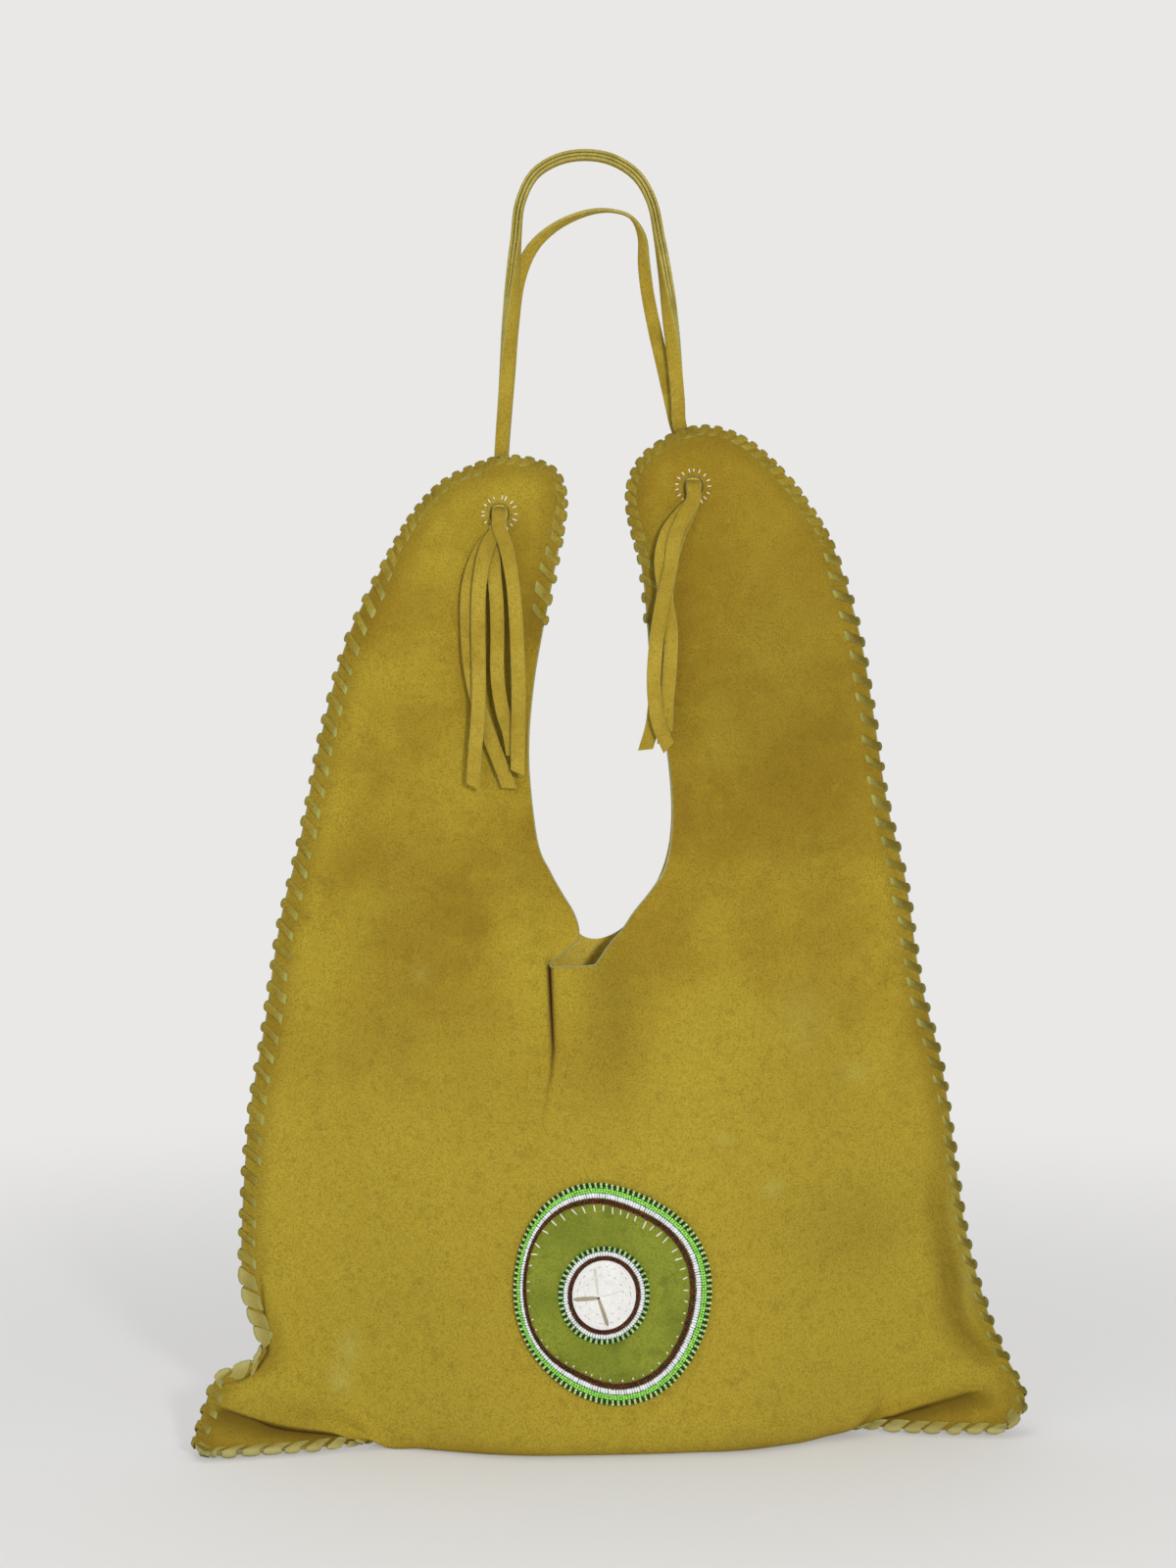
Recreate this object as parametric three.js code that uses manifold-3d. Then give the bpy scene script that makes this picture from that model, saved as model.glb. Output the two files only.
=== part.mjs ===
// Suede fringe tote bag: two suede panels laced together round their outer edge, a strap of
// four thongs that ends in tassels at two round holes, and a beaded rosette low on the front.
// Millimetres. +X is to the right seen from the front, +Y to the back, +Z up.
// Shapes are worked out above the level that the bag's bottom touches, and the finished bag is
// moved so that the origin is the underside of the strap's arch, where the bag hangs.

import * as THREE from 'three';
import { mergeVertices } from 'three/addons/utils/BufferGeometryUtils.js';
import Module from 'manifold-3d';

const wasm = await Module();
wasm.setup();

// Suede panels
const suedeThickness = 1.6;
const layerGap = 0.6; // between the two panels where they are laced together
const seamBand = 12; // width of the pinched band along the lacing
const bellySpread = 150; // distance from the band over which the panels part
const frontBelly = 56; // how far the front panel stands out at the bottom
const frontBellyPower = 1.3; // how soon that falls off with height
const backBelly = 14; // how far the back panel stands out at the bottom
const bellyTop = 520; // height at which the two panels lie flat together
const leftSideSet = 5; // how far back the left side seam stands at the bottom
const rightSideSet = 45; // how far back the right side seam stands at the bottom
const sideSetTop = 450; // height above which both side seams stand straight
const panelCell = 26; // spacing of the places at which the panels bend

// Bottom of the panels
const foldHeight = 45; // height at which the panels start to turn to the bottom seam
const foldGap = 0.7; // further gap between the two panels where they turn
const foldRun = 100; // length of panel from there to the bottom seam
const foldCell = 10.5; // spacing of the places at which the panels bend there
const seamHeight = 8.2; // height of the bottom seam's middle

// Flat cutting of the panels
const outlineSteps = 3; // points between two of an outline's own points
const outlineMargin = 5; // what the uncut sheet has over on each side
const sideMargin = 10; // how far the side seams count on below foldHeight
const cutterDepth = 20;

// Eyelet holes
const holeSides = 20;
const holeRadius = 7.4;
const leftHole = { x: -46.8, z: 513.8 };
const rightHole = { x: 59, z: 528.6 };

// Edge lacing
const laceClearance = 0.8;
const laceThickness = 1.0;
const laceRidge = 1.1; // how far a stitch stands above the dip beside it
const laceReach = 9.5; // from the panel's edge to the stitch's inner end
const laceTightening = 9; // how much shorter that reach is where the edge turns by one radian
const laceSlant = 0.42; // share of the pitch by which a stitch's front end leads and its back end lags
const laceEdgeRun = 4; // length of edge over which its direction is averaged, each way
const sidePitch = 11.6;
const hornPitch = 7;
const hornPitchStart = 470; // height above which the stitches stand closer
const hornPitchEnd = 505;
const lacePieceGap = 0.6;
const edgeSteps = 12; // points between two of the edge's own points

// Strap thongs
const thongWidth = 7.5;
const thongThickness = 1.5;
const thongGap = 0.4; // between two thongs of the stack

// Beaded rosette
const rosetteCentre = { x: 14.9, z: 92.7 };
const rosetteWidth = 107;
const rosetteHeight = 120;
const rosetteEgg = 0.05; // how much narrower the top is than an ellipse
const innerCentre = { x: 10, z: 92.4 };
const innerWidth = 50;
const innerHeight = 52.4;
const backingClearance = 0.6;
const backingInset = 1.7; // from the rosette's outline to the edge of its backing
const beadGap = 0.3;
const backingThickness = 1.2;
const edgingWidth = 2.8;
const greenBeadWidth = 2.8;
const whiteBeadWidth = 2.4;
const redBeadWidth = 2.8;
const beadHeight = 1.6;
const beadShoulder = 0.22; // share of a ring's width that its rounded edge takes
const discHeight = 1.1;
const discRings = 3;
const ringSteps = 40;

// Where the bag hangs: the middle of the strap's arch
const hangX = 0;
const hangY = 3;
const strapTopZ = 710;

// The laced edge, from the left horn's inner side round the bag to the right horn's inner side.
// Each point is [x, z]; below foldHeight z runs on down the panel to the bottom seam.
const seamLine = foldHeight - foldRun;
const leftHornEdge = [
  [-22.6, 452], [-17.5, 478], [-12.5, 505], [-11, 524], [-16, 537], [-28, 543], [-44, 544.5],
  [-60, 540], [-79, 530], [-96, 511], [-114, 479],
];
const leftSideEdge = [
  [-130, 446], [-143.6, 398], [-157, 334], [-168, 290], [-177, 232], [-184.5, 190], [-188.5, 150],
  [-190.5, 102], [-187.5, 78], [-180, 55], [-182, 47], [-193, 41.8], [-203, 36.5], [-208, 24], [-211.5, -5],
  [-212.5, seamLine + 22],
];
const bottomEdge = [
  [-206, seamLine + 1.5], [-195, seamLine], [-120, seamLine], [-40, seamLine], [40, seamLine],
  [130, seamLine], [222, seamLine],
];
const rightSideEdge = [
  [237, seamLine + 5.7], [246, seamLine + 28], [248, -3.5], [245.5, 18], [239, 39.6], [228, 67], [214, 118],
  [201, 201], [187, 256], [178, 311], [167, 355], [158, 409], [149.7, 452],
];
const rightHornEdge = [
  [136, 495], [120, 522], [104, 541], [88, 554], [71.5, 560.5], [55, 559.5], [39, 551.5], [28.5, 541],
  [23.5, 527], [24.5, 511], [31, 484], [34, 452],
];
const innerRightEdge = [[37, 420], [44.5, 387], [47.7, 350], [44.5, 323]];
const innerLeftEdge = [[-20, 312], [-28, 339], [-30.7, 382], [-28, 420]];
const frontNeck = [[34, 306], [24, 289], [14, 272], [4, 264.5], [-4, 268], [-10, 289]];
const backNeck = [[34, 300], [24, 288], [14, 281], [4, 279], [-4, 283], [-12, 296]];

// Places along the bottom seam: how far back the seam lies, the angle that the panels turn there
// (positive turns under the bag, negative turns out to the front), how far the turned part runs
// straight, and how far the panels fall before they turn.
const frontFold = [
  { x: -213, seamY: -18, turn: -52, run: 22, drop: 20 },
  { x: -170, seamY: -5, turn: -38, run: 21, drop: 24 },
  { x: -122, seamY: 14, turn: 14, run: 24, drop: 34 },
  { x: -60, seamY: 34, turn: 90, run: 54, drop: 56 },
  { x: -20, seamY: 41, turn: 95, run: 62, drop: 62 },
  { x: 60, seamY: 46, turn: 95, run: 62, drop: 62 },
  { x: 95, seamY: 46, turn: 90, run: 56, drop: 56 },
  { x: 155, seamY: 42, turn: 22, run: 26, drop: 35 },
  { x: 205, seamY: 38, turn: -24, run: 22, drop: 26 },
  { x: 248, seamY: 36, turn: -28, run: 22, drop: 24 },
];
const backFoldDrop = 30;
const backFoldRun = 16;
const backTurnShare = 0.8; // how much of the front panel's turn the back panel makes there

// Points of the strap's route for the three outer thongs: [x, y, z, turn], where turn is the angle
// of the thong's width from +X.
const strapRoute = [
  [-45.7, 9, 552, 0], [-44.6, 9, 568, 0], [-43.2, 8.4, 590, 8], [-41.8, 7, 616, 30],
  [-40.3, 5, 642, 62], [-38.6, 3.6, 664, 85], [-36.4, 3, 683, 90], [-28.5, 3, 699, 90], [-15, 3, 707.5, 90],
  [0, 3, 710, 90], [15, 3, 707.5, 90], [29, 3, 698.5, 90], [37.4, 3, 684, 90], [41.4, 3.6, 665, 95],
  [45, 5, 642, 112], [47.6, 7, 618, 145], [49.6, 8.6, 596, 172], [51, 9, 576, 180], [51.8, 9, 563, 180],
];
const innerRoute = [
  [-45.2, 9.6, 552, 0], [-44, 9.8, 568, 0], [-42, 10, 592, 0], [-39.5, 10.6, 620, 6],
  [-35.5, 11.4, 643, 18], [-27.5, 11.6, 659, 34], [-15, 11.6, 669.5, 48], [1.6, 11.6, 676.5, 56],
  [14, 11.6, 677.5, 66], [23.6, 11.6, 674.5, 86], [28.8, 11.6, 666, 118], [31, 11.6, 652, 150],
  [33.8, 11.4, 636, 168], [38.2, 10.8, 616, 178], [43, 10.4, 596, 180], [47.6, 10, 576, 180],
  [50.6, 9.6, 563, 180],
];

// Points of each tassel strip, [x, z], from its free end up to the hole, rearmost strip first
const leftTassels = [
  [
    [-41.3, 364], [-46.6, 378], [-52.5, 393], [-58.5, 411],
    [-62.6, 431], [-64.1, 452], [-63.4, 474], [-57, 494],
  ],
  [
    [-39.2, 381], [-41, 393], [-45.2, 407], [-47.8, 425],
    [-47.8, 447], [-48.2, 466], [-49.5, 481], [-49.8, 495],
  ],
  [
    [-60.9, 365], [-60.2, 381], [-58.6, 399], [-57.8, 418],
    [-57.9, 436], [-58.2, 454], [-57.4, 475], [-53.5, 495],
  ],
  [
    [-36.7, 372.5], [-36.5, 386], [-36.3, 402], [-36.2, 420],
    [-36.8, 438], [-37.6, 456], [-39.4, 476], [-43, 495],
  ],
];
const rightTassels = [
  [
    [32.9, 385], [36.6, 398], [38.6, 416], [40.6, 434],
    [41.6, 455], [43, 476], [47, 494], [53, 508],
  ],
  [
    [43, 390], [41.6, 405], [41.4, 422], [42.5, 440],
    [43.6, 460], [45.6, 480], [49.4, 497], [54.5, 510],
  ],
  [
    [43.7, 394], [44.3, 410], [46, 430], [46.6, 449],
    [43.6, 469], [41.2, 487], [44.6, 503], [52, 513],
  ],
  [
    [45.3, 386], [39.8, 399], [37.3, 417], [38, 438],
    [41.6, 464], [46.4, 484], [48.6, 500], [54, 512],
  ],
];
const tasselStandOff = 6.2; // from the seam's plane to the middle of the tassel's stack
const tasselLean = 0.024; // how much further out the tassel hangs for each millimetre down
const tasselRise = 2.6; // how much further out it hangs where it crosses the lacing
const tasselRiseRun = 40;
const holeBend = 5.7;
const holeStraight = 0.5; // half of the thongs' straight stretch inside a hole
const belowHole = 2; // straight stretch of a tassel under the bend
const aboveHole = 1; // straight stretch of the strap over the bend
const strapStandOff = 2.6; // how much further back the strap runs where it crosses the lacing
const strapStandOffRun = 6;

const suedeColour = 0xa3902b;
const cutEdgeColour = 0xa9b06a;
const fieldColour = 0x6f8028;

function clamp01(value) {
  return Math.min(1, Math.max(0, value));
}

function smooth(value) {
  const share = clamp01(value);
  return share * share * (3 - 2 * share);
}

function suede(colour = suedeColour) {
  return new THREE.MeshStandardMaterial({ color: colour, roughness: 0.95, metalness: 0 });
}

function beads(colour) {
  return new THREE.MeshStandardMaterial({ color: colour, roughness: 0.3, metalness: 0 });
}

// Outline as a smooth closed run of points
function splinePoints(points, perSpan) {
  const curve = new THREE.SplineCurve(points.map(([x, z]) => new THREE.Vector2(x, z)));
  return curve.getPoints((points.length - 1) * perSpan);
}

const lacedEdge = [leftHornEdge, leftSideEdge, bottomEdge, rightSideEdge, rightHornEdge].flat();
const lacedLine = splinePoints(lacedEdge, outlineSteps);

// Distance from a place on the panel to the laced sides and horns, leaving out the bottom seam
const sideSpans = lacedLine.slice(1)
  .map((to, index) => [lacedLine[index], to])
  .filter(([from, to]) => Math.min(from.y, to.y) > foldHeight - sideMargin);

function distanceToSides(x, z) {
  const gaps = sideSpans.map(([from, to]) => {
    const alongX = to.x - from.x;
    const alongZ = to.y - from.y;
    const lengthSquared = alongX * alongX + alongZ * alongZ;
    const share = clamp01(((x - from.x) * alongX + (z - from.y) * alongZ) / lengthSquared);
    return Math.hypot(x - from.x - share * alongX, z - from.y - share * alongZ);
  });
  return Math.min(...gaps);
}

// How far back the plane between the two panels stands
function middleY(x, z) {
  const across = (x - frontFold[0].x) / (frontFold.at(-1).x - frontFold[0].x);
  const sideSet = leftSideSet + (rightSideSet - leftSideSet) * across;
  return sideSet * Math.max(0, 1 - z / sideSetTop);
}

// How far a panel has parted from that plane
function bulge(side, x, z) {
  const height = Math.max(z, foldHeight);
  const spread = smooth((distanceToSides(x, height) - seamBand) / bellySpread);
  const lift = Math.max(0, 1 - height / bellyTop);
  const belly = side === 'front' ? frontBelly * lift ** frontBellyPower : backBelly * (1 - (1 - lift) ** 2);
  const seam = (suedeThickness + layerGap) / 2;
  return (seam + belly * spread) * (side === 'front' ? -1 : 1);
}

// The fold's values at any x, from the smooth curve through its places
const foldCurve = new THREE.CubicInterpolant(
  frontFold.map((place) => place.x),
  frontFold.flatMap((place) => [place.seamY, place.turn, place.run, place.drop]),
  4,
);

function foldAt(x) {
  const inside = THREE.MathUtils.clamp(x, frontFold[0].x, frontFold.at(-1).x);
  const [seamY, turn, run, drop] = foldCurve.evaluate(inside);
  return { seamY, turn, run, drop };
}

// A place on the middle of a panel: straight down above the fold, and a cubic curve from there
// to the bottom seam, which starts at the pace of the straight part
function panelMiddle(side, x, z) {
  if (z >= foldHeight) return new THREE.Vector3(x, middleY(x, z) + bulge(side, x, z), z);
  const fold = foldAt(x);
  const front = side === 'front';
  const under = smooth(fold.turn / 90);
  const turnShare = front ? 1 : THREE.MathUtils.lerp(1, backTurnShare, under);
  const angle = THREE.MathUtils.degToRad(fold.turn * turnShare);
  const drop = front ? fold.drop : THREE.MathUtils.lerp(fold.drop, backFoldDrop, under);
  const run = front ? fold.run : THREE.MathUtils.lerp(fold.run, backFoldRun, under);
  const layer = ((suedeThickness + layerGap + foldGap) / 2) * (front ? -1 : 1);
  const parted = (foldGap / 2) * (front ? -1 : 1);
  const startY = middleY(x, foldHeight) + bulge(side, x, foldHeight);
  const slope = middleY(x, foldHeight + 1) + bulge(side, x, foldHeight + 1) - startY;
  const endY = fold.seamY + layer * Math.cos(angle);
  const endZ = seamHeight + layer * Math.sin(angle);
  const curve = new THREE.CubicBezierCurve(
    new THREE.Vector2(startY, foldHeight),
    new THREE.Vector2(startY - slope * drop + parted, foldHeight - drop),
    new THREE.Vector2(endY - run * Math.sin(angle), endZ + run * Math.cos(angle)),
    new THREE.Vector2(endY, endZ),
  );
  const share = clamp01((foldHeight - z) / foldRun);
  const pace = foldRun / (3 * drop);
  const place = curve.getPoint(pace * share + (1 - pace) * share * share);
  return new THREE.Vector3(x, place.x, Math.max(place.y, suedeThickness / 2));
}

// A place at a given height in front of the panel's middle
function panelPoint(side, x, z, height) {
  const step = 0.5;
  const middle = panelMiddle(side, x, z);
  const across = panelMiddle(side, x + step, z).sub(panelMiddle(side, x - step, z));
  const up = panelMiddle(side, x, z + step).sub(panelMiddle(side, x, z - step));
  const facing = across.cross(up).normalize();
  return middle.addScaledVector(facing, height);
}

function onFront(x, z, height) {
  return panelPoint('front', x, z, suedeThickness / 2 + height);
}

// Closed solids for joining and cutting
function toSolid(geometry) {
  const bare = geometry.clone();
  bare.deleteAttribute('normal');
  bare.deleteAttribute('uv');
  const merged = mergeVertices(bare, 1e-4);
  const vertProperties = new Float32Array(merged.attributes.position.array);
  const triVerts = new Uint32Array(merged.index.array);
  return new wasm.Manifold(new wasm.Mesh({ numProp: 3, vertProperties, triVerts }));
}

function toGeometry(solid) {
  const mesh = solid.getMesh();
  const geometry = new THREE.BufferGeometry();
  geometry.setAttribute('position', new THREE.BufferAttribute(new Float32Array(mesh.vertProperties), 3));
  geometry.setIndex(new THREE.BufferAttribute(new Uint32Array(mesh.triVerts), 1));
  return geometry;
}

function outlinePrism(points) {
  const shape = new THREE.Shape(points);
  const geometry = new THREE.ExtrudeGeometry(shape, { depth: cutterDepth, bevelEnabled: false });
  geometry.translate(0, 0, -cutterDepth / 2);
  return toSolid(geometry);
}

// Flat sheet of faces, which are smaller below the fold
function flatSheet() {
  const xs = lacedLine.map((point) => point.x);
  const zs = lacedLine.map((point) => point.y);
  const left = Math.min(...xs) - outlineMargin;
  const width = Math.max(...xs) + outlineMargin - left;
  const part = (bottom, top, cell) => {
    const columns = Math.round(width / cell);
    const rows = Math.round((top - bottom) / cell);
    const geometry = new THREE.BoxGeometry(width, top - bottom, suedeThickness, columns, rows, 1);
    geometry.translate(left + width / 2, (top + bottom) / 2, 0);
    return toSolid(geometry);
  };
  const upper = part(foldHeight, Math.max(...zs) + outlineMargin, panelCell);
  return upper.add(part(seamLine - outlineMargin, foldHeight, foldCell));
}

function holeCutter(hole) {
  const geometry = new THREE.CylinderGeometry(holeRadius, holeRadius, cutterDepth, holeSides);
  geometry.rotateX(Math.PI / 2);
  geometry.translate(hole.x, hole.z, 0);
  return toSolid(geometry);
}

// A panel cut flat to its outline, with its two holes, then bent to its hanging shape
function panel(side) {
  const neck = side === 'front' ? frontNeck : backNeck;
  const innerEdge = [rightHornEdge.at(-1), ...innerRightEdge, ...neck, ...innerLeftEdge, leftHornEdge[0]];
  const outline = [...lacedLine, ...splinePoints(innerEdge, outlineSteps).slice(1, -1)];
  const cut = flatSheet()
    .intersect(outlinePrism(outline))
    .subtract(holeCutter(leftHole))
    .subtract(holeCutter(rightHole));
  const geometry = toGeometry(cut);
  const places = geometry.attributes.position;
  for (let index = 0; index < places.count; index += 1) {
    const bent = panelPoint(side, places.getX(index), places.getY(index), places.getZ(index));
    places.setXYZ(index, bent.x, bent.y, bent.z);
  }
  return geometry;
}

// Closed body swept through sections that all have the same number of points. The diagonals of
// the second half's faces run the other way, so the two sides of a twisted strip stay parallel.
function sweep(sections, closed) {
  const size = sections[0].length;
  const places = [];
  sections.forEach((section) => section.forEach((point) => places.push(point.x, point.y, point.z)));
  const faces = [];
  const spans = closed ? sections.length : sections.length - 1;
  for (let span = 0; span < spans; span += 1) {
    const here = span * size;
    const next = ((span + 1) % sections.length) * size;
    for (let corner = 0; corner < size; corner += 1) {
      const after = (corner + 1) % size;
      const turned = corner >= size / 2;
      faces.push(here + corner, next + corner, turned ? next + after : here + after);
      faces.push(here + after, turned ? here + corner : next + corner, next + after);
    }
  }
  return { places, faces, size, last: (sections.length - 1) * size };
}

function sweptGeometry(swept, capFaces) {
  const geometry = new THREE.BufferGeometry();
  geometry.setAttribute('position', new THREE.BufferAttribute(new Float32Array(swept.places), 3));
  geometry.setIndex([...swept.faces, ...capFaces]);
  return geometry;
}

// Places along the laced edge, with the length run so far
const edgePlaces = (() => {
  const line = splinePoints(lacedEdge, edgeSteps);
  let length = 0;
  let before = null;
  return line.map((point) => {
    const place = panelMiddle('front', point.x, point.y);
    if (before) length += place.distanceTo(before);
    before = place;
    return { x: point.x, z: point.y, length };
  });
})();

function edgeAt(length) {
  const last = edgePlaces.length - 1;
  let span = 0;
  while (span < last - 1 && edgePlaces[span + 1].length < length) span += 1;
  const from = edgePlaces[span];
  const to = edgePlaces[span + 1];
  const share = (length - from.length) / (to.length - from.length);
  const across = new THREE.Vector2(to.x - from.x, to.z - from.z).normalize();
  return {
    x: from.x + (to.x - from.x) * share,
    z: from.z + (to.z - from.z) * share,
    outX: across.y,
    outZ: -across.x,
  };
}

// Outward direction averaged over a short stretch, and a reach that shortens on tight corners
function edgeFrame(length) {
  const total = edgePlaces.at(-1).length;
  const here = edgeAt(THREE.MathUtils.clamp(length, 0, total));
  const back = edgeAt(THREE.MathUtils.clamp(length - laceEdgeRun, 0, total));
  const ahead = edgeAt(THREE.MathUtils.clamp(length + laceEdgeRun, 0, total));
  const out = new THREE.Vector2(back.outX + ahead.outX, back.outZ + ahead.outZ).normalize();
  const turn = Math.acos(clamp01(back.outX * ahead.outX + back.outZ * ahead.outZ));
  const reach = laceReach - laceTightening * clamp01(turn);
  return { x: here.x, z: here.z, outX: out.x, outZ: out.y, reach };
}

function pitchAt(length) {
  const place = edgeAt(length);
  const share = smooth((place.z - hornPitchStart) / (hornPitchEnd - hornPitchStart));
  return sidePitch + (hornPitch - sidePitch) * share;
}

// Places of the stitches along the whole edge: a ridge at each stitch and a dip between two
const laceStations = (() => {
  const total = edgePlaces.at(-1).length;
  const stations = [];
  let length = hornPitch / 2;
  while (length < total - hornPitch / 2) {
    const pitch = pitchAt(length);
    stations.push({ length, ridge: laceRidge, pitch });
    stations.push({ length: length + pitch / 2, ridge: 0, pitch });
    length += pitch;
  }
  return stations;
})();

// One channel-shaped section round the two edges: the front end leads the edge by half a stitch
// and the back end lags it, so the ridges slant as whip stitches do
function laceSection({ length, ridge, pitch }) {
  const under = suedeThickness / 2 + laceClearance;
  const over = under + laceThickness + ridge;
  const lead = edgeFrame(length + pitch * laceSlant);
  const lag = edgeFrame(length - pitch * laceSlant);
  const edge = edgeFrame(length);
  const end = (side, frame, height) => panelPoint(
    side,
    frame.x - frame.outX * frame.reach,
    frame.z - frame.outZ * frame.reach,
    height,
  );
  const rim = (side, height, out) => {
    const place = panelPoint(side, edge.x, edge.z, height);
    const inner = panelPoint(side, edge.x - edge.outX, edge.z - edge.outZ, height);
    const outward = place.clone().sub(inner).normalize();
    return place.addScaledVector(outward, out);
  };
  return [
    end('front', lead, under),
    rim('front', under, laceClearance),
    rim('back', -under, laceClearance),
    end('back', lag, -under),
    end('back', lag, -over),
    rim('back', -over, laceClearance + laceThickness + ridge),
    rim('front', over, laceClearance + laceThickness + ridge),
    end('front', lead, over),
  ];
}

function lacing(firstStation, lastStation) {
  const stations = laceStations.slice(firstStation, lastStation + 1).map((station) => ({ ...station }));
  stations[0].length += lacePieceGap / 2;
  stations.at(-1).length -= lacePieceGap / 2;
  const swept = sweep(stations.map(laceSection), false);
  const start = [0, 1, 6, 0, 6, 7, 1, 2, 5, 1, 5, 6, 2, 3, 4, 2, 4, 5];
  const caps = [];
  for (let index = 0; index < start.length; index += 3) {
    const [one, two, three] = start.slice(index, index + 3);
    caps.push(one, two, three);
    caps.push(swept.last + one, swept.last + three, swept.last + two);
  }
  return sweptGeometry(swept, caps);
}

function stationAtEdge(points) {
  const [x, z] = points.at(-1);
  const gaps = edgePlaces.map((place) => Math.hypot(place.x - x, place.z - z));
  const nearest = edgePlaces[gaps.indexOf(Math.min(...gaps))].length;
  const index = laceStations.findIndex((station) => station.length > nearest);
  return index - (index % 2);
}

// Route of one thong: up its left tassel, back through the left hole, over the arch, through the
// right hole to the front and down its right tassel
function holeTurn(hole, turn) {
  const diagonal = holeBend * (1 - Math.SQRT1_2);
  const side = holeBend + holeStraight;
  const above = hole.z + holeBend + aboveHole;
  return [
    [hole.x, -side, hole.z - holeBend - belowHole, turn],
    [hole.x, -side + diagonal, hole.z - diagonal, turn],
    [hole.x, -holeStraight, hole.z, turn],
    [hole.x, holeStraight, hole.z, turn],
    [hole.x, side - diagonal, hole.z + diagonal, turn],
    [hole.x, side, above, turn],
    [hole.x, side + strapStandOff, above + strapStandOffRun, turn],
  ];
}

function tasselRoute(points, hole, turn) {
  return points.map(([x, z]) => {
    const below = hole.z - z;
    const out = tasselStandOff + tasselLean * below + tasselRise * smooth(below / tasselRiseRun);
    return [x, -out, z, turn];
  });
}

function thongRoute(index) {
  const middle = index === 0 ? innerRoute : strapRoute;
  return [
    ...tasselRoute(leftTassels[index], leftHole, 0),
    ...holeTurn(leftHole, 0),
    ...middle,
    ...holeTurn(rightHole, 180).reverse(),
    ...tasselRoute(rightTassels[index], rightHole, 180).reverse(),
  ];
}

// How far a thong lies from the middle of the stack, on the side that it faces
function stackOffset(index) {
  const middle = (leftTassels.length - 1) / 2;
  return (middle - index) * (thongThickness + thongGap);
}

function thong(index) {
  const route = thongRoute(index);
  const curve = new THREE.CatmullRomCurve3(route.map(([x, y, z]) => new THREE.Vector3(x, y, z)));
  const sections = route.map(([x, y, z, degrees], step) => {
    const along = curve.getTangent(step / (route.length - 1));
    const turn = THREE.MathUtils.degToRad(degrees);
    const width = new THREE.Vector3(Math.cos(turn), Math.sin(turn), 0);
    width.addScaledVector(along, -width.dot(along)).normalize();
    const facing = along.clone().cross(width).normalize();
    const centre = new THREE.Vector3(x, y, z).addScaledVector(facing, stackOffset(index));
    const corner = (across, out) => centre.clone()
      .addScaledVector(width, (across * thongWidth) / 2)
      .addScaledVector(facing, (out * thongThickness) / 2);
    return [corner(-1, -1), corner(-1, 1), corner(1, 1), corner(1, -1)];
  });
  const swept = sweep(sections, false);
  const { last } = swept;
  return sweptGeometry(swept, [0, 1, 2, 0, 2, 3, last, last + 2, last + 1, last, last + 3, last + 2]);
}

// Outer outline of the rosette, drawn in by an inset, and the round outline at its middle
function rosetteOutline(angle, inset) {
  const narrow = 1 - rosetteEgg * Math.sin(angle);
  return {
    x: rosetteCentre.x + (rosetteWidth / 2 - inset) * Math.cos(angle) * narrow,
    z: rosetteCentre.z + (rosetteHeight / 2 - inset) * Math.sin(angle),
  };
}

function innerOutline(angle, inset) {
  return {
    x: innerCentre.x + (innerWidth / 2 - inset) * Math.cos(angle),
    z: innerCentre.z + (innerHeight / 2 - inset) * Math.sin(angle),
  };
}

// A raised band between two insets of an outline, seated at a height above the front panel
function band(outline, outerInset, innerInset, base, top) {
  const sections = [];
  const shoulder = (innerInset - outerInset) * beadShoulder;
  for (let step = 0; step < ringSteps; step += 1) {
    const angle = (step / ringSteps) * Math.PI * 2;
    const corner = (inset, height) => {
      const place = outline(angle, inset);
      return onFront(place.x, place.z, height);
    };
    sections.push([
      corner(outerInset, base),
      corner(outerInset + shoulder, top),
      corner(innerInset - shoulder, top),
      corner(innerInset, base),
    ]);
  }
  return sweptGeometry(sweep(sections, true), []);
}

// A low disc that fills an outline
function disc(outline, inset, base, top) {
  const places = [];
  const faces = [];
  const shares = Array.from({ length: discRings }, (_, ring) => 1 - ring / discRings);
  const right = outline(0, inset);
  const left = outline(Math.PI, inset);
  const middleX = (right.x + left.x) / 2;
  const middleZ = right.z;
  const addPlace = (x, z, height) => {
    const place = onFront(x, z, height);
    places.push(place.x, place.y, place.z);
    return places.length / 3 - 1;
  };
  const rings = [base, top].map((height) => shares.map((share) => {
    const ring = [];
    for (let step = 0; step < ringSteps; step += 1) {
      const rim = outline((step / ringSteps) * Math.PI * 2, inset);
      ring.push(addPlace(middleX + (rim.x - middleX) * share, middleZ + (rim.z - middleZ) * share, height));
    }
    return ring;
  }));
  const hubs = [base, top].map((height) => addPlace(middleX, middleZ, height));
  const strip = (from, to) => from.forEach((place, step) => {
    const next = (step + 1) % ringSteps;
    faces.push(place, from[next], to[next], place, to[next], to[step]);
  });
  strip(rings[0][0], rings[1][0]);
  for (let ring = 1; ring < discRings; ring += 1) {
    strip(rings[1][ring - 1], rings[1][ring]);
    strip(rings[0][ring], rings[0][ring - 1]);
  }
  const lastRings = rings.map((level) => level.at(-1));
  for (let step = 0; step < ringSteps; step += 1) {
    const next = (step + 1) % ringSteps;
    faces.push(lastRings[1][step], lastRings[1][next], hubs[1]);
    faces.push(lastRings[0][next], lastRings[0][step], hubs[0]);
  }
  return sweptGeometry({ places, faces }, []);
}

// The innermost outer thong's underside comes to the origin
const bag = new THREE.Group();
const hung = new THREE.Group();
const archUnderside = strapTopZ + stackOffset(leftTassels.length - 1) - thongThickness / 2;
hung.position.set(-hangX, -hangY, -archUnderside);
bag.add(hung);

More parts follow.
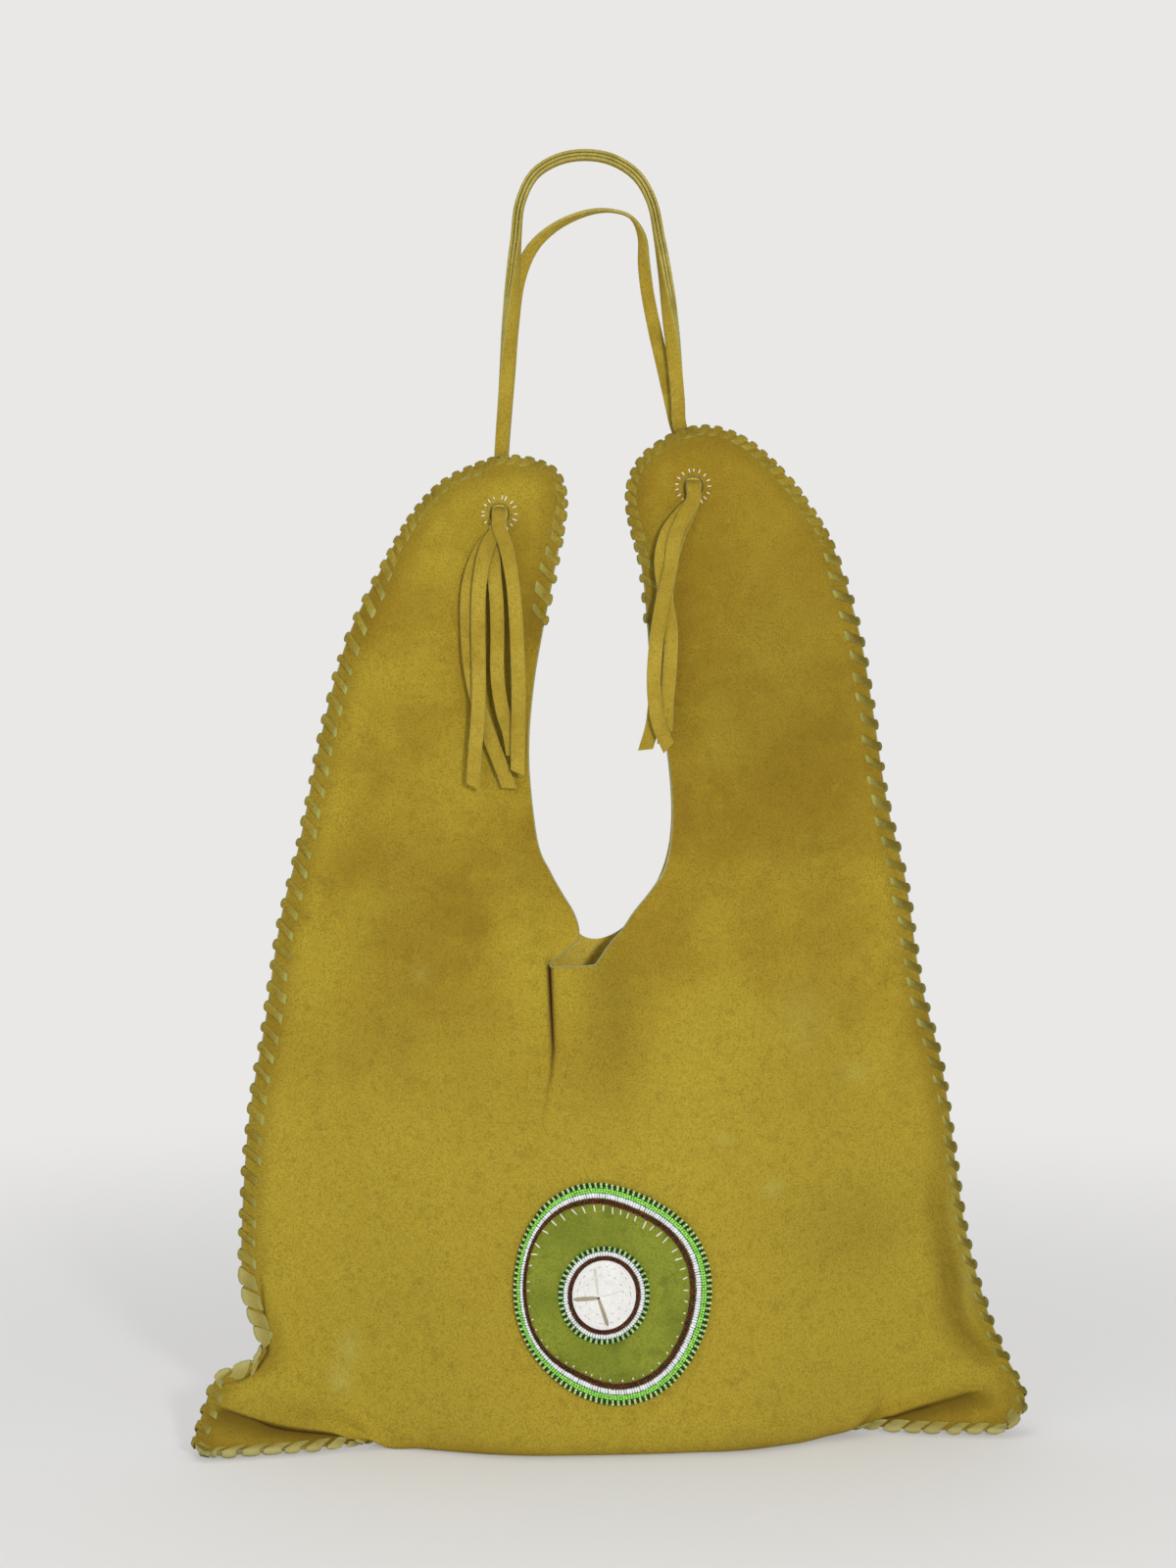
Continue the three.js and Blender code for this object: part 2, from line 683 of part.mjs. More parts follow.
function addPiece(name, geometry, material) {
  const piece = new THREE.Mesh(geometry, material);
  piece.name = name;
  hung.add(piece);
}

addPiece('front_panel', panel('front'), suede());
addPiece('back_panel', panel('back'), suede());

const laceEnds = [leftHornEdge, leftSideEdge, bottomEdge, rightSideEdge].map(stationAtEdge);
const laceNames = [
  'left_horn_lacing',
  'left_side_lacing',
  'bottom_lacing',
  'right_side_lacing',
  'right_horn_lacing',
];
laceNames.forEach((name, index) => {
  const from = index === 0 ? 0 : laceEnds[index - 1];
  const to = index === laceEnds.length ? laceStations.length - 1 : laceEnds[index];
  addPiece(name, lacing(from, to), suede(cutEdgeColour));
});

leftTassels.forEach((points, index) => addPiece(`strap_thong_${index + 1}`, thong(index), suede()));

const backingTop = backingClearance + backingThickness;
const ringBase = backingTop + beadGap;
const ringTop = ringBase + beadHeight;
const backing = disc(rosetteOutline, backingInset, backingClearance, backingTop);
addPiece('rosette_backing', backing, suede(fieldColour));

let inset = 0;
const outerRings = [
  ['rosette_outer_edging', edgingWidth, 0x2a3a16],
  ['rosette_green_ring', greenBeadWidth, 0x58b82e],
  ['rosette_white_ring', whiteBeadWidth, 0xe6e8ea],
  ['rosette_red_ring', redBeadWidth, 0x4a1a12],
];
outerRings.forEach(([name, width, colour]) => {
  addPiece(name, band(rosetteOutline, inset, inset + width, ringBase, ringTop), beads(colour));
  inset += width + beadGap;
});

inset = 0;
const innerRings = [
  ['rosette_inner_edging', edgingWidth, 0x2a3a16],
  ['rosette_inner_white_ring', whiteBeadWidth, 0xe6e8ea],
  ['rosette_inner_red_ring', redBeadWidth, 0x4a1a12],
];
innerRings.forEach(([name, width, colour]) => {
  addPiece(name, band(innerOutline, inset, inset + width, ringBase, ringTop), beads(colour));
  inset += width + beadGap;
});
addPiece('rosette_centre_disc', disc(innerOutline, inset, ringBase, ringBase + discHeight), suede(0xdadcde));

export default bag;
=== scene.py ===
# Suede fringe tote bag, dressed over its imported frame.
# Shapes are worked out in millimetres above the level that the bag's bottom touches, as in the
# frame's own source, and moved once into the frame: +X right, +Y back, +Z up, in metres.

import bpy
import math
import numpy as np
from mathutils import Euler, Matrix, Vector
from mathutils.geometry import delaunay_2d_cdt


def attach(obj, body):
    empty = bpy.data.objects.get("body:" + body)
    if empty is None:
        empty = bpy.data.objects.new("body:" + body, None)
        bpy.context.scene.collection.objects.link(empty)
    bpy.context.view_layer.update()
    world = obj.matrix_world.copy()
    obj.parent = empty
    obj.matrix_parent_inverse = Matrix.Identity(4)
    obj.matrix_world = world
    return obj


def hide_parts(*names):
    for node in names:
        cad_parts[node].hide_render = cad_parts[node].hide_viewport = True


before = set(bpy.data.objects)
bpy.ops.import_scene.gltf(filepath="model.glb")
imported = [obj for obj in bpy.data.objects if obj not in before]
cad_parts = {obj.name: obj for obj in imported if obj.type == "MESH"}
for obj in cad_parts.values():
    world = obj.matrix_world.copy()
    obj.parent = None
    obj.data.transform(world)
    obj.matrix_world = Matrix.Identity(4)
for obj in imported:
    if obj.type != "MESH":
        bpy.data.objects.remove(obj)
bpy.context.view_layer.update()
print("frame loaded")

hang = {"y": 3.0, "archUnderside": 706.4}  # the frame's origin, seen from the level of the table


# point in the frame = (point - origin) / 1000
def toFrame(points):
    return (np.asarray(points, float) - (0, hang["y"], hang["archUnderside"])) / 1000


# camera, lamps and stage

view = {
    "place": (-7, -1500, 424),  # eye, mm above the table
    "pitch": 2.217,  # degrees down
    "yaw": 0.329,  # degrees to the right
    "lens": 62.775,  # mm for 36 mm along the picture's height
}


# object in the scene that shows the given data
def addObject(name, data):
    added = bpy.data.objects.new(name, data)
    bpy.context.collection.objects.link(added)
    return added


camera = addObject("camera", bpy.data.cameras.new("camera"))
camera.data.lens = view["lens"]
camera.data.sensor_width = 36
camera.data.clip_start = 0.05
camera.location = toFrame(view["place"])
camera.rotation_euler = Euler((math.radians(90 - view["pitch"]), 0, math.radians(-view["yaw"])))
bpy.context.scene.camera = camera
bpy.context.scene.view_settings.view_transform = "Standard"

lamps = {
    "key": {"place": (440, -1600, 640), "watts": 13.2, "size": 0.16},
    "fill": {"place": (-1100, -1350, 620), "watts": 5, "size": 1.2},
    "above": {"place": (-150, 350, 1650), "watts": 5, "size": 1.2},
}
lampAim = (10, 0, 300)
for lampName, lamp in lamps.items():
    lampData = bpy.data.lights.new(lampName, "AREA")
    lampData.energy = lamp["watts"]
    lampData.size = lamp["size"]
    lampObject = addObject(lampName, lampData)
    lampObject.location = toFrame(lamp["place"])
    toBag = Vector(toFrame(lampAim)) - lampObject.location
    lampObject.rotation_euler = toBag.to_track_quat("-Z", "Y").to_euler()


# linear value = ((v + 0.055) / 1.055) ^ 2.4 for each channel of a "#rrggbb" colour
def colour(code):
    parts = np.array([int(code[i:i + 2], 16) for i in (1, 3, 5)]) / 255
    linear = np.where(parts <= 0.04045, parts / 12.92, ((parts + 0.055) / 1.055) ** 2.4)
    return (*linear.tolist(), 1.0)


# one node with its settings, and its sockets linked or set
def addNode(tree, kind, sockets=None, **settings):
    node = tree.nodes.new(kind)
    for name, value in settings.items():
        setattr(node, name, value)
    for socket, source in (sockets or {}).items():
        if isinstance(source, bpy.types.NodeSocket):
            tree.links.new(source, node.inputs[socket])
        else:
            node.inputs[socket].default_value = source
    return node


# new material with an empty node tree
def emptyMaterial(name):
    material = bpy.data.materials.new(name)
    material.use_nodes = True
    material.node_tree.nodes.clear()
    return material, material.node_tree


backdropTone = "#e9e8e6"
world = bpy.data.worlds.new("studio")
bpy.context.scene.world = world
world.use_nodes = True
sky = world.node_tree
sky.nodes.clear()
rays = addNode(sky, "ShaderNodeLightPath").outputs
seen = rays["Is Camera Ray"]
for otherRay in ("Is Glossy Ray", "Is Transmission Ray"):
    seen = addNode(sky, "ShaderNodeMath", {0: seen, 1: rays[otherRay]}, operation="MAXIMUM").outputs[0]
ambient = addNode(sky, "ShaderNodeBackground", {"Color": colour("#f4f6fa"), "Strength": 0.5})
backdrop = addNode(sky, "ShaderNodeBackground", {"Color": colour(backdropTone), "Strength": 1.0})
either = addNode(sky, "ShaderNodeMixShader", {0: seen, 1: ambient.outputs[0], 2: backdrop.outputs[0]})
addNode(sky, "ShaderNodeOutputWorld", {"Surface": either.outputs[0]})

# matt painted table, which fades into the backdrop
floorPlan = {"level": -0.5, "reach": 4000, "nearFade": 0.3, "farFade": 1.2, "nearGlow": 0.3}
floorCorners = np.array([(-1, -1, 0), (1, -1, 0), (1, 1, 0), (-1, 1, 0)]) * floorPlan["reach"]
floorPoints = toFrame(floorCorners + (0, 0, floorPlan["level"])).tolist()
floorMesh = bpy.data.meshes.new("floor")
floorMesh.from_pydata(floorPoints, [], [(0, 1, 2, 3)])
floorObject = addObject("floor", floorMesh)
floorMaterial, floorTree = emptyMaterial("mattPaintedTable")
floorPlace = addNode(floorTree, "ShaderNodeTexCoord")
floorFlat = addNode(floorTree, "ShaderNodeVectorMath", {0: floorPlace.outputs["Object"], 1: (1, 1, 0)},
                    operation="MULTIPLY")
floorFar = addNode(floorTree, "ShaderNodeVectorMath", {0: floorFlat.outputs[0]}, operation="LENGTH")
floorFade = addNode(floorTree, "ShaderNodeMapRange", {
    "Value": floorFar.outputs["Value"],
    "From Min": floorPlan["nearFade"],
    "From Max": floorPlan["farFade"],
    "To Min": floorPlan["nearGlow"],
}, interpolation_type="SMOOTHSTEP")
floorRays = addNode(floorTree, "ShaderNodeLightPath")
floorMix = addNode(floorTree, "ShaderNodeMath", {
    0: floorFade.outputs[0], 1: floorRays.outputs["Is Camera Ray"],
}, operation="MULTIPLY")
floorPaint = addNode(floorTree, "ShaderNodeBsdfPrincipled", {
    "Base Color": colour("#efeeec"), "Roughness": 0.7,
})
floorGlow = addNode(floorTree, "ShaderNodeEmission", {"Color": colour(backdropTone), "Strength": 1.0})
floorBoth = addNode(floorTree, "ShaderNodeMixShader", {
    0: floorMix.outputs[0], 1: floorPaint.outputs[0], 2: floorGlow.outputs[0],
})
addNode(floorTree, "ShaderNodeOutputMaterial", {"Surface": floorBoth.outputs[0]})
floorMesh.materials.append(floorMaterial)
print("camera, lamps and floor set")


# making meshes

# six times the volume inside closed faces = sum of a . (b x c) over their triangles
def signedVolume(points, faces):
    total = 0.0
    for corner in range(1, faces.shape[1] - 1):
        a, b, c = points[faces[:, 0]], points[faces[:, corner]], points[faces[:, corner + 1]]
        total += np.einsum("ij,ij->", a, np.cross(b, c))
    return total


# closed mesh from whole arrays; faceSets holds (faces, slot) pairs, turned outwards together
def makePiece(name, points, faceSets, materials, values=None, sharp=55):
    centred = points - points.mean(axis=0)
    if sum(signedVolume(centred, faces) for faces, slot in faceSets) < 0:
        faceSets = [(faces[:, ::-1], slot) for faces, slot in faceSets]
    mesh = bpy.data.meshes.new(name)
    allFaces = [face for faces, slot in faceSets for face in faces.tolist()]
    mesh.from_pydata(toFrame(points).tolist(), [], allFaces)
    slots = np.concatenate([np.full(len(faces), slot) for faces, slot in faceSets])
    for material in materials:
        mesh.materials.append(material)
    mesh.polygons.foreach_set("material_index", slots.astype(np.int32))
    mesh.polygons.foreach_set("use_smooth", np.ones(len(slots), bool))
    for attribute, amounts in (values or {}).items():
        stored = mesh.attributes.new(attribute, "FLOAT", "POINT")
        stored.data.foreach_set("value", np.asarray(amounts, np.float32).ravel())
    mesh.update()
    mesh.set_sharp_from_angle(angle=math.radians(sharp))
    piece = addObject(name, mesh)
    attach(piece, "root")
    return piece


# quads of many equal swept bodies: corner j of ring i joins corner j + 1 and ring i + 1
def sweepFaces(bodies, rings, corners):
    body = np.arange(bodies)[:, None, None] * rings * corners
    ring = np.arange(rings - 1)[None, :, None]
    corner = np.arange(corners)[None, None, :]
    after = (corner + 1) % corners
    here = body + ring * corners
    ahead = here + corners
    quads = np.stack([here + corner, here + after, ahead + after, ahead + corner], axis=-1)
    return quads.reshape(-1, 4)


# first and last rings of the same bodies as flat faces
def capFaces(bodies, rings, corners):
    body = np.arange(bodies)[:, None] * rings * corners
    corner = np.arange(corners)[None, :]
    first = body + corner[:, ::-1]
    last = body + (rings - 1) * corners + corner
    return np.vstack([first, last])


# triangles that close the same bodies at two poles each, whose points follow those of all rings
def poleFaces(bodies, rings, corners):
    body = np.arange(bodies)[:, None] * rings * corners
    corner = np.arange(corners)[None]
    after = (corner + 1) % corners
    pole = bodies * rings * corners + np.arange(bodies)[:, None] * 2 + 0 * corner
    last = body + (rings - 1) * corners
    starts = np.stack([body + after, body + corner, pole], axis=-1).reshape(-1, 3)
    ends = np.stack([last + corner, last + after, pole + 1], axis=-1).reshape(-1, 3)
    return np.vstack([starts, ends])


# the hanging shape of the two panels, as in the frame's source

panelPlan = {
    "suedeThickness": 1.6,
    "layerGap": 0.6,
    "seamBand": 12,
    "bellySpread": 150,
    "frontBelly": 56,
    "frontBellyPower": 1.3,
    "backBelly": 14,
    "bellyTop": 520,
    "leftSideSet": 5,
    "rightSideSet": 45,
    "sideSetTop": 450,
    "foldHeight": 45,
    "foldGap": 0.7,
    "foldRun": 100,
    "seamHeight": 8.2,
    "earDrop": 4.8,  # how much nearer to the table the seam lies where it shows
    "backFoldDrop": 30,
    "backFoldRun": 16,
    "backTurnShare": 0.8,
    "sideMargin": 10,
}
leftHole = (-46.8, 513.8)
rightHole = (59, 528.6)
seamLine = panelPlan["foldHeight"] - panelPlan["foldRun"]

leftHornEdge = [
    (-22.6, 452), (-17.5, 478), (-12.5, 505), (-11, 524), (-16, 537), (-28, 543), (-44, 544.5),
    (-60, 540), (-79, 530), (-96, 511), (-114, 479),
]
leftSideEdge = [
    (-130, 446), (-143.6, 398), (-157, 334), (-168, 290), (-177, 232), (-184.5, 190), (-188.5, 150),
    (-190.5, 102), (-187.5, 78), (-180, 55), (-182, 47), (-193, 41.8), (-203, 36.5), (-208, 24),
    (-211.5, -5), (-212.5, seamLine + 22),
]
bottomEdge = [
    (-206, seamLine + 1.5), (-195, seamLine), (-120, seamLine), (-40, seamLine), (40, seamLine),
    (130, seamLine), (222, seamLine),
]
rightSideEdge = [
    (237, seamLine + 5.7), (246, seamLine + 28), (248, -3.5), (245.5, 18), (239, 39.6), (228, 67),
    (214, 118), (201, 201), (187, 256), (178, 311), (167, 355), (158, 409), (149.7, 452),
]
rightHornEdge = [
    (136, 495), (120, 522), (104, 541), (88, 554), (71.5, 560.5), (55, 559.5), (39, 551.5),
    (28.5, 541), (23.5, 527), (24.5, 511), (31, 484), (34, 452),
]
# the neck's cut edge from the right horn to the left horn; a run ends at each sharp corner
frontNeckRuns = [
    [(34, 452), (37, 420), (44.5, 387), (47.7, 350), (44.5, 323), (36.5, 309), (26.8, 297), (20, 287),
     (14.1, 280.5), (8.3, 272.3), (5.4, 268)],
    [(5.4, 268), (-2, 267.2), (-9, 267), (-18.9, 267)],
    [(-18.9, 267), (-19.5, 268.2)],
    [(-19.5, 268.2), (-10, 275.2), (-3.4, 281.6)],
    [(-3.4, 281.6), (-3.2, 288), (-6.3, 297), (-11.5, 305.5), (-18.5, 318), (-26, 336), (-30.7, 382),
     (-28, 420), (-22.6, 452)],
]
backNeckRuns = [
    [(34, 452), (37, 420), (44.5, 387), (47.7, 350), (44.5, 323), (34, 300), (24, 288), (14, 281),
     (4, 279), (-4, 283), (-12, 296), (-20, 312), (-28, 339), (-30.7, 382), (-28, 420), (-22.6, 452)],
]
# along the bottom seam: x, how far back the seam lies, turn in degrees, straight run, drop; the
# ears lie a little lower and further forward than in the frame's source, as in the photo
foldTable = np.array([
    (-213, -33, -52, 22, 20),
    (-170, -24, -40, 21, 24),
    (-146, -18, -22, 21, 29),
    (-129, -9, 26, 22, 42),
    (-112, 9, 92, 28, 59),
    (-92, 27, 95, 44, 61),
    (-60, 36, 95, 58, 62),
    (-20, 41, 95, 67, 62),
    (60, 46, 95, 67, 62),
    (108, 46, 95, 54, 60),
    (134, 38, 92, 19, 62),
    (150, 29, 60, 20, 55),
    (168, 20, -5, 22, 36),
    (205, 14, -24, 22, 28),
    (248, 11, -28, 22, 25),
], float)


# smooth step = s^2 (3 - 2 s), with s held between 0 and 1
def smooth(value):
    share = np.clip(value, 0, 1)
    return share * share * (3 - 2 * share)


# value between two = first + (second - first) x share
def blend(first, second, share):
    return first + (second - first) * share


# direction of length 1 = direction / its length
def unit(directions):
    return directions / np.linalg.norm(directions, axis=-1, keepdims=True)


# length run along a line at each of its points in space
def runLengths(points):
    return np.append(0, np.cumsum(np.linalg.norm(np.diff(points, axis=0), axis=1)))


# uniform Catmull-Rom run through the points, its ends doubled
def splineThrough(points, perSpan):
    knots = np.asarray(points, float)
    place = np.linspace(0, len(knots) - 1, (len(knots) - 1) * perSpan + 1)
    span = np.minimum(place.astype(int), len(knots) - 2)
    t = (place - span)[:, None]
    before, start = knots[np.maximum(span - 1, 0)], knots[span]
    end, after = knots[span + 1], knots[np.minimum(span + 2, len(knots) - 1)]
    slopeIn, slopeOut = (end - before) / 2, (after - start) / 2
    cubic = (2 * start - 2 * end + slopeIn + slopeOut) * t ** 3
    square = (3 * end - 3 * start - 2 * slopeIn - slopeOut) * t ** 2
    return cubic + square + slopeIn * t + start


# distance from each place to the nearest of many straight spans, in blocks of places
def distanceToSpans(x, z, starts, ends):
    flatX, flatZ = np.ravel(x), np.ravel(z)
    along = ends - starts
    lengthSquared = np.maximum((along ** 2).sum(axis=1), 1e-9)
    nearest = np.empty(len(flatX))
    for first in range(0, len(flatX), 4096):
        block = slice(first, first + 4096)
        dx = flatX[block, None] - starts[:, 0]
        dz = flatZ[block, None] - starts[:, 1]
        share = np.clip((dx * along[:, 0] + dz * along[:, 1]) / lengthSquared, 0, 1)
        nearest[block] = np.hypot(dx - share * along[:, 0], dz - share * along[:, 1]).min(axis=1)
    return nearest.reshape(np.shape(x))


lacedEdge = [*leftHornEdge, *leftSideEdge, *bottomEdge, *rightSideEdge, *rightHornEdge]
lacedLine = splineThrough(lacedEdge, 3)
lowestOfSpan = np.minimum(lacedLine[:-1, 1], lacedLine[1:, 1])
isSide = lowestOfSpan > panelPlan["foldHeight"] - panelPlan["sideMargin"]
sideGrid = {"left": -225.0, "low": 42.0, "step": 3.0, "columns": 162, "rows": 178}
gridColumns = sideGrid["left"] + sideGrid["step"] * np.arange(sideGrid["columns"])
gridRows = sideGrid["low"] + sideGrid["step"] * np.arange(sideGrid["rows"])
gridX, gridZ = np.meshgrid(gridColumns, gridRows)
sideDistances = distanceToSpans(gridX, gridZ, lacedLine[:-1][isSide], lacedLine[1:][isSide])


# distance to the laced sides, read between the four nearest places of a grid
def distanceToSides(x, z):
    column = np.clip((x - sideGrid["left"]) / sideGrid["step"], 0, sideGrid["columns"] - 1.001)
    row = np.clip((z - sideGrid["low"]) / sideGrid["step"], 0, sideGrid["rows"] - 1.001)
    c, r = column.astype(int), row.astype(int)
    right, up = column - c, row - r
    lower = sideDistances[r, c] * (1 - right) + sideDistances[r, c + 1] * right
    upper = sideDistances[r + 1, c] * (1 - right) + sideDistances[r + 1, c + 1] * right
    return lower * (1 - up) + upper * up


# plane between the panels = side set, from left to right, x (1 - z / its top)
def middleY(x, z):
    across = (x - foldTable[0, 0]) / (foldTable[-1, 0] - foldTable[0, 0])
    sideSet = blend(panelPlan["leftSideSet"], panelPlan["rightSideSet"], across)
    return sideSet * np.maximum(0, 1 - z / panelPlan["sideSetTop"])


# parting = seam + belly x smooth(distance beyond the seam band / spread)
def bulge(side, x, z):
    height = np.maximum(z, panelPlan["foldHeight"])
    spread = smooth((distanceToSides(x, height) - panelPlan["seamBand"]) / panelPlan["bellySpread"])
    lift = np.maximum(0, 1 - height / panelPlan["bellyTop"])
    seam = (panelPlan["suedeThickness"] + panelPlan["layerGap"]) / 2
    if side == "front":
        return -(seam + panelPlan["frontBelly"] * lift ** panelPlan["frontBellyPower"] * spread)
    return seam + panelPlan["backBelly"] * (1 - (1 - lift) ** 2) * spread


# cubic through the fold's stations, with no curvature at its two ends
def foldAt(x):
    stations, values = foldTable[:, 0], foldTable[:, 1:]
    last = len(stations) - 1
    inside = np.clip(x, stations[0], stations[-1])
    after = np.clip(np.searchsorted(stations, inside, side="right"), 1, last)
    before = after - 1
    atStart, atEnd = before == 0, after == last
    start, end = stations[before], stations[after]
    half = (end - start) / 2
    weightBefore = np.where(atStart, -0.5, half / (start - stations[before - 1]))
    gapAfter = np.where(atEnd, 1.0, stations[np.minimum(after + 1, last)] - end)
    weightAfter = np.where(atEnd, -0.5, half / gapAfter)
    p = (inside - start) / (end - start)
    p2, p3 = p * p, p * p * p
    shareBefore = -weightBefore * p3 + 2 * weightBefore * p2 - weightBefore * p
    shareStart = (1 + weightBefore) * p3 + (-1.5 - 2 * weightBefore) * p2 + (weightBefore - 0.5) * p + 1
    shareEnd = (-1 - weightAfter) * p3 + (1.5 + weightAfter) * p2 + 0.5 * p
    shareAfter = weightAfter * (p3 - p2)
    valueBefore = values[np.where(atStart, after, before - 1)]
    valueAfter = values[np.where(atEnd, before, np.minimum(after + 1, last))]
    mixed = shareBefore[..., None] * valueBefore + shareStart[..., None] * values[before]
    mixed = mixed + shareEnd[..., None] * values[after] + shareAfter[..., None] * valueAfter
    return np.moveaxis(mixed, -1, 0)


# middle of a panel: straight down above the fold, and below it the cubic Bezier
# (1-t)^3 P0 + 3 (1-t)^2 t P1 + 3 (1-t) t^2 P2 + t^3 P3 down to the bottom seam
def panelMiddle(side, x, z):
    x, z = np.broadcast_arrays(np.asarray(x, float), np.asarray(z, float))
    top = panelPlan["foldHeight"]
    front = side == "front"
    sign = -1 if front else 1
    seamY, turn, run, drop = foldAt(x)
    under = smooth(turn / 90)
    angle = np.radians(turn * (1 if front else 1 + (panelPlan["backTurnShare"] - 1) * under))
    if not front:
        drop = blend(drop, panelPlan["backFoldDrop"], under)
        run = blend(run, panelPlan["backFoldRun"], under)
    thick = panelPlan["suedeThickness"] + panelPlan["layerGap"] + panelPlan["foldGap"]
    layer = sign * thick / 2
    parted = sign * panelPlan["foldGap"] / 2
    startY = middleY(x, top) + bulge(side, x, np.full_like(x, top))
    slope = middleY(x, top + 1) + bulge(side, x, np.full_like(x, top + 1)) - startY
    endY = seamY + layer * np.cos(angle)
    seamHeight = panelPlan["seamHeight"] - panelPlan["earDrop"] * smooth((95 - turn) / 40)
    endZ = seamHeight + layer * np.sin(angle)
    share = np.clip((top - z) / panelPlan["foldRun"], 0, 1)
    pace = panelPlan["foldRun"] / (3 * drop)
    t = pace * share + (1 - pace) * share * share
    w0, w1, w2, w3 = (1 - t) ** 3, 3 * (1 - t) ** 2 * t, 3 * (1 - t) * t ** 2, t ** 3
    foldY = w0 * startY + w1 * (startY - slope * drop + parted)
    foldY = foldY + w2 * (endY - run * np.sin(angle)) + w3 * endY
    foldZ = w0 * top + w1 * (top - drop) + w2 * (endZ + run * np.cos(angle)) + w3 * endZ
    foldZ = np.maximum(foldZ, panelPlan["suedeThickness"] / 2)
    above = z >= top
    y = np.where(above, middleY(x, z) + bulge(side, x, z), foldY)
    return np.stack([x, y, np.where(above, z, foldZ)], axis=-1)


sheetPlan = {
    "cell": 3.3,
    "left": -215,
    "right": 252,
    "top": 564,
    "edgeStep": 2.6,
    "edgeRoom": 1.7,
    "shortEdgeStep": 1,
    "fineness": 8,  # places on each span of an outline's curve
    "skive": 0.7,  # how far the outer face is pared back at a cut edge, so that the cut shows
    "holeSides": 48,
    "frontHole": (4.8, 5.0, 2.6),  # half width, half height and squareness
    "backHole": (3.7, 3.8, 5),  # both are drawn close round the stack of thongs
    "creaseOffsets": (0, 0.8, -0.8, 1.9, -1.9, 3.2, -3.2),
    "creaseStep": 2.0,
    "creaseRoom": 1.2,
    "creaseEdgeRoom": 0.5,
    "finestCrease": 2,  # softer creases need no rows of their own
}

# softness of the suede: creases and slow waves

# line in the panel's own x and z; strength gives (share run along it, strength); depth in mm;
# softness is half of the crease's width; lift is how far the side of positive offset stands out;
# stain, shade and sideShade are how dark the painted shadow and shade make its bottom, its
# slopes and its positive side; both panels follow a crease that lies near their seam
creaseBase = {"lift": 0, "liftReach": 10, "both": False, "stain": 0, "sideShade": 0}
creases = {
    "neckPleat": {
        "line": [(-19.6, 267), (-18.6, 246), (-17.4, 222), (-18.4, 208), (-23.5, 182), (-31, 154.5)],
        "strength": [(0, 1.3), (0.15, 1.2), (0.35, 0.95), (0.46, 0.55), (0.6, 0.2), (0.8, 0.08),
                     (1, 0)],
        "depth": 1.8, "softness": 0.95, "lift": 3.0, "liftReach": 34,
        "stain": 1.0, "shade": 0.25,
    },
    "neckSoftFold": {
        "line": [(13, 264), (15, 238), (13, 205), (6, 180)],
        "strength": [(0, 1), (0.5, 0.8), (1, 0)],
        "depth": 1.4, "softness": 5.5, "shade": 0.4,
    },
    "leftNotchCrease": {
        "line": [(-180, 98), (-178.5, 78), (-176.5, 62), (-176, 50), (-182, 40.5), (-190, 33),
                 (-200, 30)],
        "strength": [(0, 0), (0.2, 0.6), (0.5, 1), (0.8, 0.9), (1, 0.2)],
        "depth": 1.2, "softness": 0.9, "lift": -1.0, "liftReach": 8, "both": True,
        "stain": 0.85, "shade": 0.3, "sideShade": 0.15,
    },
    "leftEarCrease": {
        "line": [(-204, 12), (-200, 8.5), (-183, -8), (-168, -24), (-146, -39), (-126, -51)],
        "strength": [(0, 0.2), (0.12, 0.8), (0.4, 1), (1, 0.9)],
        "depth": 1.3, "softness": 1.0, "lift": -3.4, "liftReach": 18, "both": True,
        "stain": 0.9, "shade": 0.3, "sideShade": 0.95,
    },
    "rightEarCrease": {
        "line": [(158, -51), (174, -43), (189, -28.5), (202, -15.5), (216, -2.5), (228, 2.5)],
        "strength": [(0, 1), (0.5, 1), (0.85, 0.6), (1, 0.1)],
        "depth": 1.3, "softness": 1.3, "lift": -3.4, "liftReach": 16, "both": True,
        "stain": 0.65, "shade": 0.4, "sideShade": 0.9,
    },
    "rightSideFold": {
        "line": [(199, 172), (199, 127.5), (207.5, 84), (210, 65), (214, 54), (221, 45), (230, 36)],
        "strength": [(0, 0), (0.3, 0.7), (0.6, 1), (1, 0.7)],
        "depth": 4.6, "softness": 3.4, "lift": -4.5, "liftReach": 16, "both": True,
        "shade": 0.55,
    },
    "bellyFold": {
        "line": [(-28, 158), (-33, 130), (-40, 96), (-44, 70)],
        "strength": [(0, 0.4), (0.5, 0.8), (1, 0)],
        "depth": 0.9, "softness": 7, "shade": 0.12,
    },
}
creases = {name: {**creaseBase, **crease} for name, crease in creases.items()}
# pale places: x, z, half width, half height, strength; most are rubs, and the two tall ones near
# x = 210 are painted highlight on the ridge beside the right side fold
rubbedAndLitSpots = [
    (-130.5, 53, 6, 10, 0.36), (-135, 34, 6, 10, 0.42), (103, 143.5, 5, 4, 0.35),
    (75.5, 171.5, 4, 3, 0.3), (150, 205, 9, 6, 0.2), (-90, 262, 5, 4, 0.22),
    (120, 235, 14, 20, 0.12), (208, 140, 4, 40, 0.3), (216.5, 92, 4.5, 26, 0.4),
]
